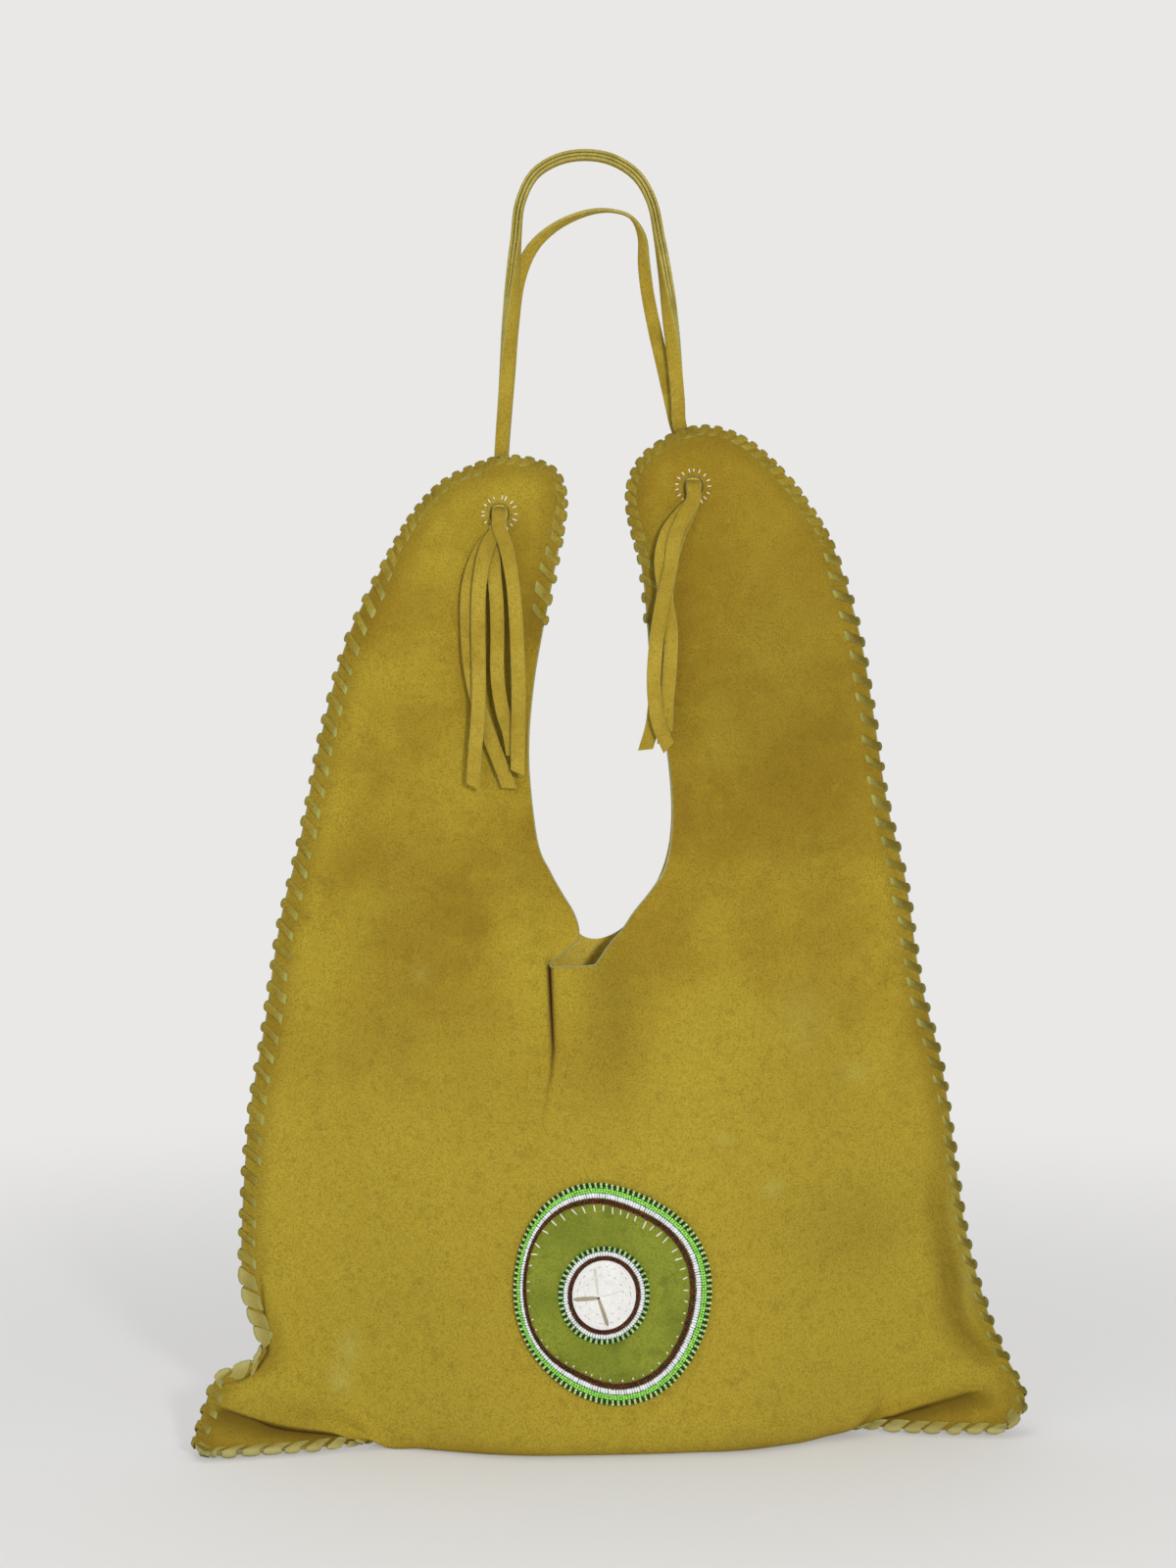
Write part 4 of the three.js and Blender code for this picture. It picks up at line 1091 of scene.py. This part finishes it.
# panel = its flat mesh laid on both faces of the hanging shape, pared back on its outer face and
# closed round every rim
def makePanel(side, neckRuns):
    fineness, step = sheetPlan["fineness"], sheetPlan["edgeStep"]
    runs = [evenly(splineThrough(lacedEdge, fineness), step)]
    for run in neckRuns:
        runStep = step if len(run) > 2 else sheetPlan["shortEdgeStep"]
        runs.append(evenly(splineThrough(run, fineness), runStep))
    outline = np.vstack([run[:-1] for run in runs])
    holes = [holeLoop(side, leftHole), holeLoop(side, rightHole)]
    flat, triangles = flatMesh(side, outline, holes)
    rim = openEdges(triangles)
    count = len(flat)
    half = panelPlan["suedeThickness"] / 2
    pared = flat.copy()
    first = 0
    for loop, sign in zip([outline, *holes], (1, -1, -1)):
        pared[first:first + len(loop)] += inwards(loop) * sign * sheetPlan["skive"]
        first += len(loop)
    frontFlat, rearFlat = (pared, flat) if side == "front" else (flat, pared)
    points = np.vstack([panelPoint(side, *frontFlat.T, half), panelPoint(side, *rearFlat.T, -half)])
    outer, inner = (0, 1) if side == "front" else (1, 0)
    rimQuads = np.stack([rim[:, 1], rim[:, 0], rim[:, 0] + count, rim[:, 1] + count], axis=1)
    faceSets = [(triangles, outer), (triangles[:, ::-1] + count, inner), (rimQuads, 2)]
    values = {mark: np.tile(amount, 2) for mark, amount in marksAt(side, *flat.T).items()}
    materials = [panelSuede, backSuede, cutSuede]
    piece = makePiece(f"{side}_panel_suede", points, faceSets, materials, values)
    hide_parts(f"{side}_panel")


makePanel("front", frontNeckRuns)
makePanel("back", backNeckRuns)
print("panels made")

# whip-stitched edge lacing

lacePlan = {
    "sidePitch": 11.6,
    "hornPitch": 7,
    "hornPitchStart": 470,
    "hornPitchEnd": 505,
    "slant": 0.56,
    "reach": 9.0,
    "tightening": 9,
    "edgeRun": 4,
    "sideWidth": 0.46,  # share of the pitch
    "bottomWidth": 0.8,
    "hornWidth": 0.72,
    "hornReach": 0.68,  # share of the reach
    "snugReach": 0.6,  # the same low on the right side, where the strands are drawn close
    "snugTop": 235,
    "snugRun": 60,
    "thickness": 0.75,
    "bottomThickness": 1.0,
    "hornThickness": 0.42,
    "rimBump": 0.6,
    "rimOut": 0.35,
    "middleOut": 0.5,
    "rimHeight": 0.12,
    "lengthSpread": 0.35,
    "widthSpread": 0.07,
    "reachSpread": 0.06,
    "crownSpread": 0.12,
    "toneSpread": 0.3,
    "gloom": 0.12,  # painted shade of the strands on the left, and how much more on the right, below the right horn
    "rightStrandShade": 0.55,
    "rightReach": 60,
    "strandShadeTop": 520,
    "strandShadeFade": 60,
    "fineness": 12,  # places on each span of the laced edge
}
edgeFlat = splineThrough(lacedEdge, lacePlan["fineness"])
edgeSpace = panelMiddle("front", edgeFlat[:, 0], edgeFlat[:, 1])
edgeLengths = runLengths(edgeSpace)


# place on the laced edge at a length run, with the flat direction out of the panel
def edgeAt(length):
    held = np.clip(length, 0, edgeLengths[-1])
    span = np.clip(np.searchsorted(edgeLengths, held) - 1, 0, len(edgeLengths) - 2)
    start, end = edgeFlat[span], edgeFlat[span + 1]
    share = ((held - edgeLengths[span]) / (edgeLengths[span + 1] - edgeLengths[span]))[..., None]
    step = end - start
    step = unit(step)
    out = np.stack([step[..., 1], -step[..., 0]], axis=-1)
    return start + (end - start) * share, out


# outward direction averaged over a short stretch, and a reach that shortens on tight corners
def edgeFrame(length):
    place = edgeAt(length)[0]
    back = edgeAt(length - lacePlan["edgeRun"])[1]
    ahead = edgeAt(length + lacePlan["edgeRun"])[1]
    out = back + ahead
    out = unit(out)
    turn = np.arccos(np.clip((back * ahead).sum(axis=-1), 0, 1))
    return place, out, lacePlan["reach"] - lacePlan["tightening"] * np.clip(turn, 0, 1)


# pitch at a length run = from the sides' to the horns' with smooth(height up to the horns)
def pitchAt(length):
    height = edgeAt(np.float64(length))[0][1]
    start, end = lacePlan["hornPitchStart"], lacePlan["hornPitchEnd"]
    share = float(smooth((height - start) / (end - start)))
    return blend(lacePlan["sidePitch"], lacePlan["hornPitch"], share)


stitchLengths, stitchPitches = [], []
runSoFar = lacePlan["hornPitch"] / 2
while runSoFar < edgeLengths[-1] - lacePlan["hornPitch"] / 2:
    stitchPitches.append(pitchAt(runSoFar))
    stitchLengths.append(runSoFar)
    runSoFar += stitchPitches[-1]
stitchLengths, stitchPitches = np.array(stitchLengths), np.array(stitchPitches)

# lace's section: (share of half width, share of thickness), and how pale its cut sides are
laceSection = np.array([
    (-0.95, 0), (-1, 0.3), (-0.68, 0.85), (0, 1.2), (0.68, 0.95), (1, 0.4), (0.95, 0),
])
lacePale = np.array([0.0, 0.25, 0.15, 0.0, 0.0, 0.1, 0.0])
# painted shade at the strand's two sides
sectionShade = np.array([0.7, 0.3, 0.05, 0, 0, 0.4, 0.8])
# share of the way from the inner end to the edge, with the lace's height and width there
legShares = np.array([0, 0.1, 0.3, 0.65, 1])
legHeights = np.array([0.1, 0.85, 1.0, 1.0, 1.0])
legWidths = np.array([0.72, 0.9, 1.0, 1.0, 1.0])
legPale = np.array([0.95, 0.85, 0.2, 0.0, 0.0])
legRub = np.array([0, 0.1, 0.2, 0.4, 0.7])
# painted shade along the strand, deeper towards the edge
legShade = np.array([0.0, 0.2, 0.6, 0.85, 1.0])
legRest = np.array([-0.7, -0.1, 0.12, 0.12, 0.12])
# tones on the three rings round the edge: pale, rubbed and painted shade
rimPale, rimRub, rimShade = [0.25, 0.35, 0.25], [0.85, 0.95, 0.85], [1, 1, 1]


wornPlan = {
    "notchTop": 112, "notchFade": 24, "notchFoot": 22, "notchRise": 16, "low": -38, "lowFade": 10,
}


# where the strands are drawn close and rubbed: the left notch and the bottom edge
def wornAt(places):
    x, z = places[..., 0], places[..., 1]
    notch = smooth((wornPlan["notchTop"] - z) / wornPlan["notchFade"])
    notch = notch * smooth((z - wornPlan["notchFoot"]) / wornPlan["notchRise"]) * (x < 0)
    return np.maximum(notch, smooth((wornPlan["low"] - z) / wornPlan["lowFade"]))


# stitch = inner end, over the front, round both edges, and in again on the back; each ring is a
# section across the edge's direction, laid on the panel at its own height
def makeLacing(name, chosen, random):
    wobble = random.normal(0, lacePlan["lengthSpread"], (len(chosen), 1, 1))
    length = stitchLengths[chosen][:, None, None] + wobble
    pitch = stitchPitches[chosen][:, None, None]
    horn = smooth((lacePlan["sidePitch"] - pitch) / (lacePlan["sidePitch"] - lacePlan["hornPitch"]))
    middles = edgeAt(length)[0]
    low = wornAt(middles)
    snug = smooth((lacePlan["snugTop"] - middles[..., 1]) / lacePlan["snugRun"])
    snug = snug * (middles[..., 0] > 0) * (1 - low)
    share = blend(lacePlan["sideWidth"], lacePlan["hornWidth"], horn)
    share = share + (lacePlan["bottomWidth"] - lacePlan["sideWidth"]) * low
    halfWidth = pitch * share / 2 * (1 + random.normal(0, lacePlan["widthSpread"], pitch.shape))
    reachScale = 1 + (lacePlan["hornReach"] - 1) * horn
    reachScale = reachScale * (1 + random.normal(0, lacePlan["reachSpread"], pitch.shape))
    reachScale = reachScale * (1 + (lacePlan["snugReach"] - 1) * snug)
    crown = blend(lacePlan["thickness"], lacePlan["hornThickness"], horn)
    crown = crown + (lacePlan["bottomThickness"] - lacePlan["thickness"]) * low
    crown = crown * (1 + random.normal(0, lacePlan["crownSpread"], pitch.shape))
    across, tall = laceSection[:, 0], laceSection[:, 1]
    surface = panelPlan["suedeThickness"] / 2

    def leg(side):
        sign = 1 if side == "front" else -1
        lead = lacePlan["slant"] * (1 - legShares)[None, :, None] * pitch * sign
        run = length + lead + halfWidth * legWidths[None, :, None] * across
        place, out, reach = edgeFrame(run)
        inset = (reach * reachScale * (1 - legShares)[None, :, None])[..., None]
        flat = place - out * inset
        height = surface + legRest[None, :, None] + crown * legHeights[None, :, None] * tall
        return panelPoint(side, flat[..., 0], flat[..., 1], sign * height)

    def rim(side, height, out):
        run = (length + halfWidth * across)[:, 0]
        place, outward, _ = edgeFrame(run)
        at = panelPoint(side, place[..., 0], place[..., 1], height)
        inner = place - outward
        back = panelPoint(side, inner[..., 0], inner[..., 1], height)
        direction = at - back
        direction = unit(direction)
        return at + direction * out[..., None]

    rise = (crown * tall)[:, 0]
    bump = lacePlan["rimBump"] * (0.3 + 0.7 * tall)
    near = surface + lacePlan["rimHeight"] + rise * 0.8
    frontOut = rim("front", near, lacePlan["rimOut"] + rise * 0.7)
    backOut = rim("back", -near, lacePlan["rimOut"] + rise * 0.7)
    level, middleOut = np.zeros_like(rise), lacePlan["middleOut"] + rise + bump
    middle = (rim("front", level, middleOut) + rim("back", level, middleOut)) / 2
    rims = [frontOut[:, None], middle[:, None], backOut[:, None]]
    points = np.concatenate([leg("front"), *rims, leg("back")[:, ::-1]], axis=1)
    stitches, rings, corners = points.shape[:3]
    places = edgeAt(length[:, 0, 0])[0]
    rub = wornAt(places)[:, None, None]
    # tones of each ring, from the front leg round the three rims to the back leg
    ringPale, ringRub, ringShade = (
        np.concatenate([tones, around, tones[::-1]])[None, :, None]
        for tones, around in ((legPale, rimPale), (legRub, rimRub), (legShade, rimShade)))
    uneven = np.clip(1 + random.normal(0, lacePlan["toneSpread"], (stitches, 1, 1)), 0.2, 1.5)
    pale = np.maximum(ringPale, lacePale[None, None, :]) * uneven * (1 - 0.5 * horn)
    rubbed = np.clip(ringRub * rub * (0.6 + 0.4 * uneven), 0, 1) * np.ones(corners)
    # painted shade on the strands, more on the right below the right horn, less where they are rubbed
    right = smooth(places[:, 0] / lacePlan["rightReach"])
    right = right * smooth((lacePlan["strandShadeTop"] - places[:, 1]) / lacePlan["strandShadeFade"])
    strandSideShade = (lacePlan["gloom"] + lacePlan["rightStrandShade"] * right)[:, None, None]
    gloom = np.maximum(0.6 * sectionShade, strandSideShade * ringShade)
    faceSets = [(sweepFaces(stitches, rings, corners), 0), (capFaces(stitches, rings, corners), 0)]
    values = {"pale": np.clip(pale, 0, 1), "rub": rubbed, "gloom": gloom * (1 - 0.5 * rub)}
    points = points.reshape(-1, 3)
    piece = makePiece(f"{name}_stitches", points, faceSets, [laceSuede], values, sharp=80)
    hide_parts(name)


laceRandom = np.random.default_rng(23)
laceEnds = []
for corner in (leftHornEdge[-1], leftSideEdge[-1], bottomEdge[-1], rightSideEdge[-1]):
    nearest = np.hypot(*(edgeFlat - corner).T).argmin()
    laceEnds.append(int(np.searchsorted(stitchLengths, edgeLengths[nearest])))
laceStarts = [0, *laceEnds]
laceStops = [*laceEnds, len(stitchLengths)]
laceNames = ["left_horn", "left_side", "bottom", "right_side", "right_horn"]
for laceName, start, stop in zip(laceNames, laceStarts, laceStops):
    makeLacing(f"{laceName}_lacing", np.arange(start, stop), laceRandom)
print("lacing made with", len(stitchLengths), "stitches")

# beads and small stitches

# rounded cylinder along its first axis: (share of half length, share of radius)
beadProfile = np.array([(-0.97, 0.5), (-0.72, 0.92), (0, 1), (0.72, 0.92), (0.97, 0.5)])
beadSides = 8


# many equal beads: centre + along x half length + (across cos + up sin) x radius, poles closed
def beadMesh(centres, along, across, up, halfLengths, halfWidths, halfHeights):
    angles = np.arange(beadSides) / beadSides * 2 * math.pi
    length = beadProfile[:, 0][None, :, None] * halfLengths[:, None, None]
    radius = beadProfile[:, 1][None, :, None]
    wide = radius * np.cos(angles) * halfWidths[:, None, None]
    tall = radius * np.sin(angles) * halfHeights[:, None, None]
    length = np.broadcast_to(length, wide.shape)
    points = centres[:, None, None] + along[:, None, None] * length[..., None]
    points = points + across[:, None, None] * wide[..., None] + up[:, None, None] * tall[..., None]
    beads, rings = points.shape[:2]
    ends = along * halfLengths[:, None]
    poles = np.stack([centres - ends, centres + ends], axis=1)
    allPoints = np.vstack([points.reshape(-1, 3), poles.reshape(-1, 3)])
    each = np.arange(beads)
    owner = np.concatenate([np.repeat(each, rings * beadSides), np.repeat(each, 2)])
    faceOwner = [np.repeat(each, (rings - 1) * beadSides), np.repeat(each, beadSides)]
    quads, tris = sweepFaces(beads, rings, beadSides), poleFaces(beads, rings, beadSides)
    return allPoints, quads, tris, owner, faceOwner


# axes of small things lying on the front panel: along a flat direction, across it, and facing out
def seat(x, z, dx, dz, height):
    centre = onFront(x, z, height)
    along = onFront(x + dx * 0.4, z + dz * 0.4, height) - onFront(x - dx * 0.4, z - dz * 0.4, height)
    along = unit(along)
    up = panelFacing("front", x, z)
    across = np.cross(up, along)
    across = unit(across)
    return centre, along, across, np.cross(along, across)


rosettePlan = {
    "centre": (14.4, 90.7),
    "width": 106.6,
    "height": 119.8,
    "egg": 0.03,
    "crowding": 0.42,  # how much narrower the rows are on the left
    "innerCentre": (10, 89.2),
    "innerWidth": 50,
    "innerHeight": 52.4,
    "backingInset": 1.7,
    "backingClearance": 0.6,
    "backingThickness": 1.2,
    "beadGap": 0.3,
    "beadHeight": 1.6,
    "beadSpread": 0.05,  # of the beads' height, length and width
    "insetSpread": 0.06,
    "turnSpread": 0.04,
    "leanRadius": 55,  # of the ring on which a lean of 1 turns a bead by a whole pitch
    "discHeight": 1.1,
    "unevenTurns": np.array([1, 2, 3, 4]),
    "unevenCos": np.array([-0.002, 0.007, 0.0145, -0.0025]),
    "unevenSin": np.array([0.0025, -0.037, 0.020, 0.013]),
}
backingTop = rosettePlan["backingClearance"] + rosettePlan["backingThickness"]
ringBase = backingTop + rosettePlan["beadGap"]


# egg outline, uneven from sewing by hand: x = cx + (u w / 2 - inset) cos a (1 - egg sin a) and
# z = cz + (u h / 2 - inset) sin a, with u = 1 + sum of c cos(n a) + s sin(n a); the rows crowd
# together on the left
def rosetteOutline(angle, inset):
    narrow = 1 - rosettePlan["egg"] * np.sin(angle)
    turns = np.asarray(angle)[..., None] * rosettePlan["unevenTurns"]
    swells = np.cos(turns) * rosettePlan["unevenCos"] + np.sin(turns) * rosettePlan["unevenSin"]
    uneven = 1 + swells.sum(axis=-1)
    inset = inset * (1 - rosettePlan["crowding"] * smooth((-np.cos(angle) - 0.3) / 0.7))
    x = rosettePlan["centre"][0] + (rosettePlan["width"] / 2 * uneven - inset) * np.cos(angle) * narrow
    return x, rosettePlan["centre"][1] + (rosettePlan["height"] / 2 * uneven - inset) * np.sin(angle)


# outline of the middle group: x = cx + (w / 2 - inset) cos a, z = cz + (h / 2 - inset) sin a
def innerOutline(angle, inset):
    x = rosettePlan["innerCentre"][0] + (rosettePlan["innerWidth"] / 2 - inset) * np.cos(angle)
    return x, rosettePlan["innerCentre"][1] + (rosettePlan["innerHeight"] / 2 - inset) * np.sin(angle)


# angles that divide an outline into an even number of equal lengths, about one pitch each
def evenAngles(outline, inset, pitch):
    angles = np.linspace(0, 2 * math.pi, 721)
    x, z = outline(angles, inset)
    lengths = runLengths(onFront(x, z, ringBase))
    count = round(lengths[-1] / pitch)
    count += count % 2
    middles = (np.arange(count) + 0.5) / count * lengths[-1]
    return np.interp(middles, lengths, angles), lengths[-1] / count


# rows of beads side by side round an outline, each bead lying across its row
def makeBeadRing(name, slotName, outline, rows, pitch, materials, slant, random):
    parts = {"points": [], "quads": [], "tris": [], "tone": [], "quadSlots": [], "triSlots": []}
    used = 0
    shared, step = evenAngles(outline, (rows[0][0] + rows[-1][1]) / 2, pitch)
    plan, beads = rosettePlan, len(shared)
    high = plan["beadHeight"] / 2
    for outer, inner in rows:
        inset = (outer + inner) / 2
        angles = shared + random.normal(0, plan["turnSpread"], beads) * step / plan["leanRadius"]
        lean = slant * step / plan["leanRadius"]
        x, z = outline(angles, inset + random.normal(0, plan["insetSpread"], beads))
        outX, outZ = outline(angles + lean, inset - 0.5)
        inX, inZ = outline(angles - lean, inset + 0.5)
        dx, dz = outX - inX, outZ - inZ
        size = np.hypot(dx, dz)
        level = ringBase + high * 0.9 + random.normal(0, plan["beadSpread"], beads)
        axes = seat(x, z, dx / size, dz / size, level)
        atOuter, atInner = np.array(outline(angles, outer)), np.array(outline(angles, inner))
        halfLengths = np.hypot(*(atOuter - atInner)) / 2
        halfLengths = halfLengths * (1 + random.normal(0, plan["beadSpread"], beads))
        halfWidths = step * 0.5 * (1 + random.normal(0, plan["beadSpread"], beads))
        halfHeights = np.full(beads, high * 0.95)
        points, quads, tris, owner, faceOwner = beadMesh(*axes, halfLengths, halfWidths, halfHeights)
        tone = random.uniform(0, 1, beads)
        parts["points"].append(points)
        parts["quads"].append(quads + used)
        parts["tris"].append(tris + used)
        parts["tone"].append(tone[owner])
        parts["quadSlots"].append(faceOwner[0] % len(materials))
        parts["triSlots"].append(np.concatenate([faceOwner[1], faceOwner[1]]) % len(materials))
        used += len(points)
    quads, tris = np.vstack(parts["quads"]), np.vstack(parts["tris"])
    quadSlots, triSlots = np.concatenate(parts["quadSlots"]), np.concatenate(parts["triSlots"])
    faceSets = []
    for slot in range(len(materials)):
        faceSets += [(quads[quadSlots == slot], slot), (tris[triSlots == slot], slot)]
    piece = makePiece(f"{name}_beads", np.vstack(parts["points"]), faceSets, materials,
                      {"tone": np.concatenate(parts["tone"])}, sharp=80)
    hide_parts(name)


beadRandom = np.random.default_rng(31)
# slot, outline, insets of each row's two sides, pitch, glass and lean of its beads
beadRings = {
    "rosette_outer_edging": ("edging_beads", rosetteOutline, [(0, 1.4), (1.4, 2.8)], 1.53,
                             [blackGlass, paleGreenGlass], 0.12),
    "rosette_green_ring": ("green_beads", rosetteOutline, [(3.0, 4.2), (4.2, 5.4)], 1.45,
                           [brightGreenGlass], 0),
    "rosette_white_ring": ("white_beads", rosetteOutline, [(5.6, 8.6)], 1.45, [whiteGlass], 0),
    "rosette_red_ring": ("red_beads", rosetteOutline, [(8.9, 10.2), (10.4, 11.7)], 1.4, [redGlass], 0),
    "rosette_inner_edging": ("edging_beads", innerOutline, [(0, 1.2), (1.2, 2.4)], 1.52,
                             [blackGlass, mintGlass], 0.08),
    "rosette_inner_white_ring": ("white_beads", innerOutline, [(2.6, 5.2)], 1.45, [whiteGlass], 0),
    "rosette_inner_red_ring": ("red_beads", innerOutline, [(5.4, 6.4), (6.5, 7.5)], 1.4, [redGlass], 0),
}
for ringName, ring in beadRings.items():
    makeBeadRing(ringName, *ring, beadRandom)
print("bead rings made")


# closed low disc: rings drawn in to the middle, top height + relief(share, angle), flat underside
def makeDisc(name, nodeName, outline, inset, base, top, shape, rings, steps, material):
    angles = np.arange(steps) / steps * 2 * math.pi
    shares = np.linspace(1, 0, rings + 1)[:-1]
    rimX, rimZ = outline(angles, inset)
    midX, midZ = rimX.mean(), rimZ.mean()
    x = midX + (rimX - midX)[None] * shares[:, None]
    z = midZ + (rimZ - midZ)[None] * shares[:, None]
    level = top + shape(shares[:, None] * np.ones(steps), angles[None] * np.ones((rings, 1)))
    upper = onFront(x, z, level)
    lower = onFront(x, z, np.full_like(x, base))
    grid = np.concatenate([lower[::-1], upper]).reshape(-1, 3)
    topHub = onFront(midX, midZ, top + float(shape(np.zeros(1), np.zeros(1))[0]))
    hubs = np.stack([onFront(midX, midZ, base), topHub])
    points = np.vstack([grid, hubs])
    faceSets = [(sweepFaces(1, 2 * rings, steps), 0), (poleFaces(1, 2 * rings, steps), 0)]
    piece = makePiece(name, points, faceSets, [material], sharp=45)
    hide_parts(nodeName)
    return piece


fieldPlan = {"height": 0.14, "puckers": 9, "twist": 4, "rings": 26, "steps": 132}
hidePlan = {"inset": 7.7, "crown": 0.35, "turnHeight": 0.07, "turns": 9, "rings": 40, "steps": 96}


# the field puckers a little between its tack stitches: height sin(puckers a + twist share), faded
# out at the rim and the middle
def fieldShape(share, angle):
    pucker = fieldPlan["height"] * np.sin(angle * fieldPlan["puckers"] + share * fieldPlan["twist"])
    return pucker * smooth((0.9 - share) / 0.3) * smooth(share / 0.5)


# the hide disc is crowned and lies in faint turns: crown (1 - share^2) + height cos(turns share)
def hideShape(share, angle):
    turned = hidePlan["turnHeight"] * np.cos(share * 2 * math.pi * hidePlan["turns"])
    return hidePlan["crown"] * (1 - share ** 2) + turned * smooth(share * 4)


field = makeDisc(
    "rosette_field_suede", "rosette_backing", rosetteOutline, rosettePlan["backingInset"],
    rosettePlan["backingClearance"], backingTop, fieldShape, fieldPlan["rings"], fieldPlan["steps"],
    fieldSuede)
makeDisc(
    "rosette_centre_hide", "rosette_centre_disc", innerOutline, hidePlan["inset"], ringBase,
    ringBase + rosettePlan["discHeight"] - hidePlan["crown"], hideShape, hidePlan["rings"],
    hidePlan["steps"], whiteHide)


# rounded thread stitches lying on the front panel, each along its own direction
def makeStitches(name, x, z, dx, dz, height, lengths, thickness, material):
    given = (x, z, dx, dz, height, lengths, thickness)
    x, z, dx, dz, height, lengths, thickness = (
        np.array(values, float) for values in np.broadcast_arrays(*np.atleast_1d(*given)))
    size = np.hypot(dx, dz)
    axes = seat(x, z, dx / size, dz / size, height)
    points, quads, tris, _, _ = beadMesh(*axes, lengths / 2, thickness / 2, thickness * 0.4)
    makePiece(name, points, [(quads, 0), (tris, 0)], [material], sharp=80)


stitchRandom = np.random.default_rng(43)
tackPlan = {
    "count": 48, "inset": 12.3, "innerReach": 6, "height": 0.22, "thickness": 0.85,
    "shortest": 0.9, "longest": 5.2, "longTurns": (42, 120),  # degrees, where they are longest
}
tackCount = tackPlan["count"]
tackAngles = (np.arange(tackCount) + stitchRandom.normal(0, 0.12, tackCount)) / tackCount * 2 * math.pi
lobes = np.max([np.cos(tackAngles - math.radians(turn)) for turn in tackPlan["longTurns"]], axis=0)
towards = np.clip(1.6 * lobes - 0.75, 0.08, 0.85)
tackLengths = blend(tackPlan["shortest"], tackPlan["longest"], towards)
tackLengths = tackLengths * (1 + stitchRandom.normal(0, 0.12, tackCount))
tackX, tackZ = rosetteOutline(tackAngles, tackPlan["inset"] + tackLengths / 2)
tackTurned = tackAngles + stitchRandom.normal(0, 0.02, tackCount)
tackInX, tackInZ = rosetteOutline(tackTurned, tackPlan["inset"] + tackPlan["innerReach"])
tackOutX, tackOutZ = rosetteOutline(tackAngles, tackPlan["inset"])
makeStitches("rosette_tack_stitches", tackX, tackZ, tackOutX - tackInX, tackOutZ - tackInZ,
             backingTop + tackPlan["height"], tackLengths, tackPlan["thickness"], creamThread)

# stitched cross and dashes on the hide disc: (from share, to share, turn in degrees, thickness)
crossArms = {
    "strong": ([(0.0, 0.78, 182, 2.3), (0.0, 0.92, -71, 2.0)], sinewThread),
    "faint": ([(0.06, 0.95, 97, 1.5), (0.1, 0.82, 16, 0.6)], paleSinew),
}
crossPlan = {
    "left": 3.2,  # of the disc's centre, and how far below it
    "low": 1.5,
    "height": 0.95,
    "knotHeight": 1.3,
    "knotSize": 1.5,
    "dashShortest": 1.2,
    "dashLongest": 2.2,
    "dashThickness": 0.35,
    "dashSink": 0.1,
    "dashFall": 0.3,  # of the disc's crown from its middle to its rim
    "dashTall": 1.05,  # height of the rings of dashes, as a share of their width
}
hideTop = ringBase + rosettePlan["discHeight"]
discWide = rosettePlan["innerWidth"] / 2 - hidePlan["inset"]
discX, discZ = rosettePlan["innerCentre"]
crossX, crossZ = discX - crossPlan["left"], discZ - crossPlan["low"]
for armName, (arms, armMaterial) in crossArms.items():
    armStart, armEnd, armTurn, armThick = np.array(arms).T
    armDx, armDz = np.cos(np.radians(armTurn)), np.sin(np.radians(armTurn))
    armMiddle = (armStart + armEnd) / 2 * discWide
    armX, armZ = crossX + armDx * armMiddle, crossZ + armDz * armMiddle
    makeStitches(f"hide_{armName}_cross", armX, armZ, armDx, armDz, ringBase + crossPlan["height"],
                 (armEnd - armStart) * discWide, armThick, armMaterial)
makeStitches("hide_centre_knot", crossX, crossZ, 1, 0, ringBase + crossPlan["knotHeight"],
             crossPlan["knotSize"], crossPlan["knotSize"], brownKnot)

# two rings of dashes: degrees between them, first turn and share of the disc's radius
dashRings = ((17, 0, 0.84), (24, 8, 0.6))
dashTurns = [np.arange(first, 360 + first, gap) for gap, first, share in dashRings]
dashShares = np.repeat([share for gap, first, share in dashRings], [len(turns) for turns in dashTurns])
dashTurns = np.radians(np.concatenate(dashTurns))
dashTurns = dashTurns + stitchRandom.normal(0, 0.04, len(dashTurns))
dashX = discX + np.cos(dashTurns) * dashShares * discWide
dashZ = discZ + np.sin(dashTurns) * dashShares * discWide * crossPlan["dashTall"]
dashLevels = hideTop - crossPlan["dashSink"] - crossPlan["dashFall"] * dashShares ** 2
dashLengths = stitchRandom.uniform(crossPlan["dashShortest"], crossPlan["dashLongest"], len(dashTurns))
makeStitches("hide_ring_stitches", dashX, dashZ, -np.sin(dashTurns), np.cos(dashTurns), dashLevels,
             dashLengths, crossPlan["dashThickness"], sinewThread)

# cream stitches round the two strap holes
eyeletPlan = {"count": 17, "radius": 8.9, "length": 2.2, "thickness": 0.75, "height": 0.15}
eyeCount = eyeletPlan["count"]
for holeName, hole in (("left", leftHole), ("right", rightHole)):
    eyeTurns = (np.arange(eyeCount) + stitchRandom.normal(0, 0.1, eyeCount)) / eyeCount * 2 * math.pi
    eyeDx, eyeDz = np.cos(eyeTurns), np.sin(eyeTurns)
    eyeLengths = eyeletPlan["length"] * (1 + stitchRandom.normal(0, 0.18, eyeCount))
    eyeX, eyeZ = hole[0] + eyeDx * eyeletPlan["radius"], hole[1] + eyeDz * eyeletPlan["radius"]
    makeStitches(f"{holeName}_eyelet_stitches", eyeX, eyeZ, eyeDx, eyeDz, eyeletPlan["height"],
                 eyeLengths, eyeletPlan["thickness"], creamThread)
print("stitches made")
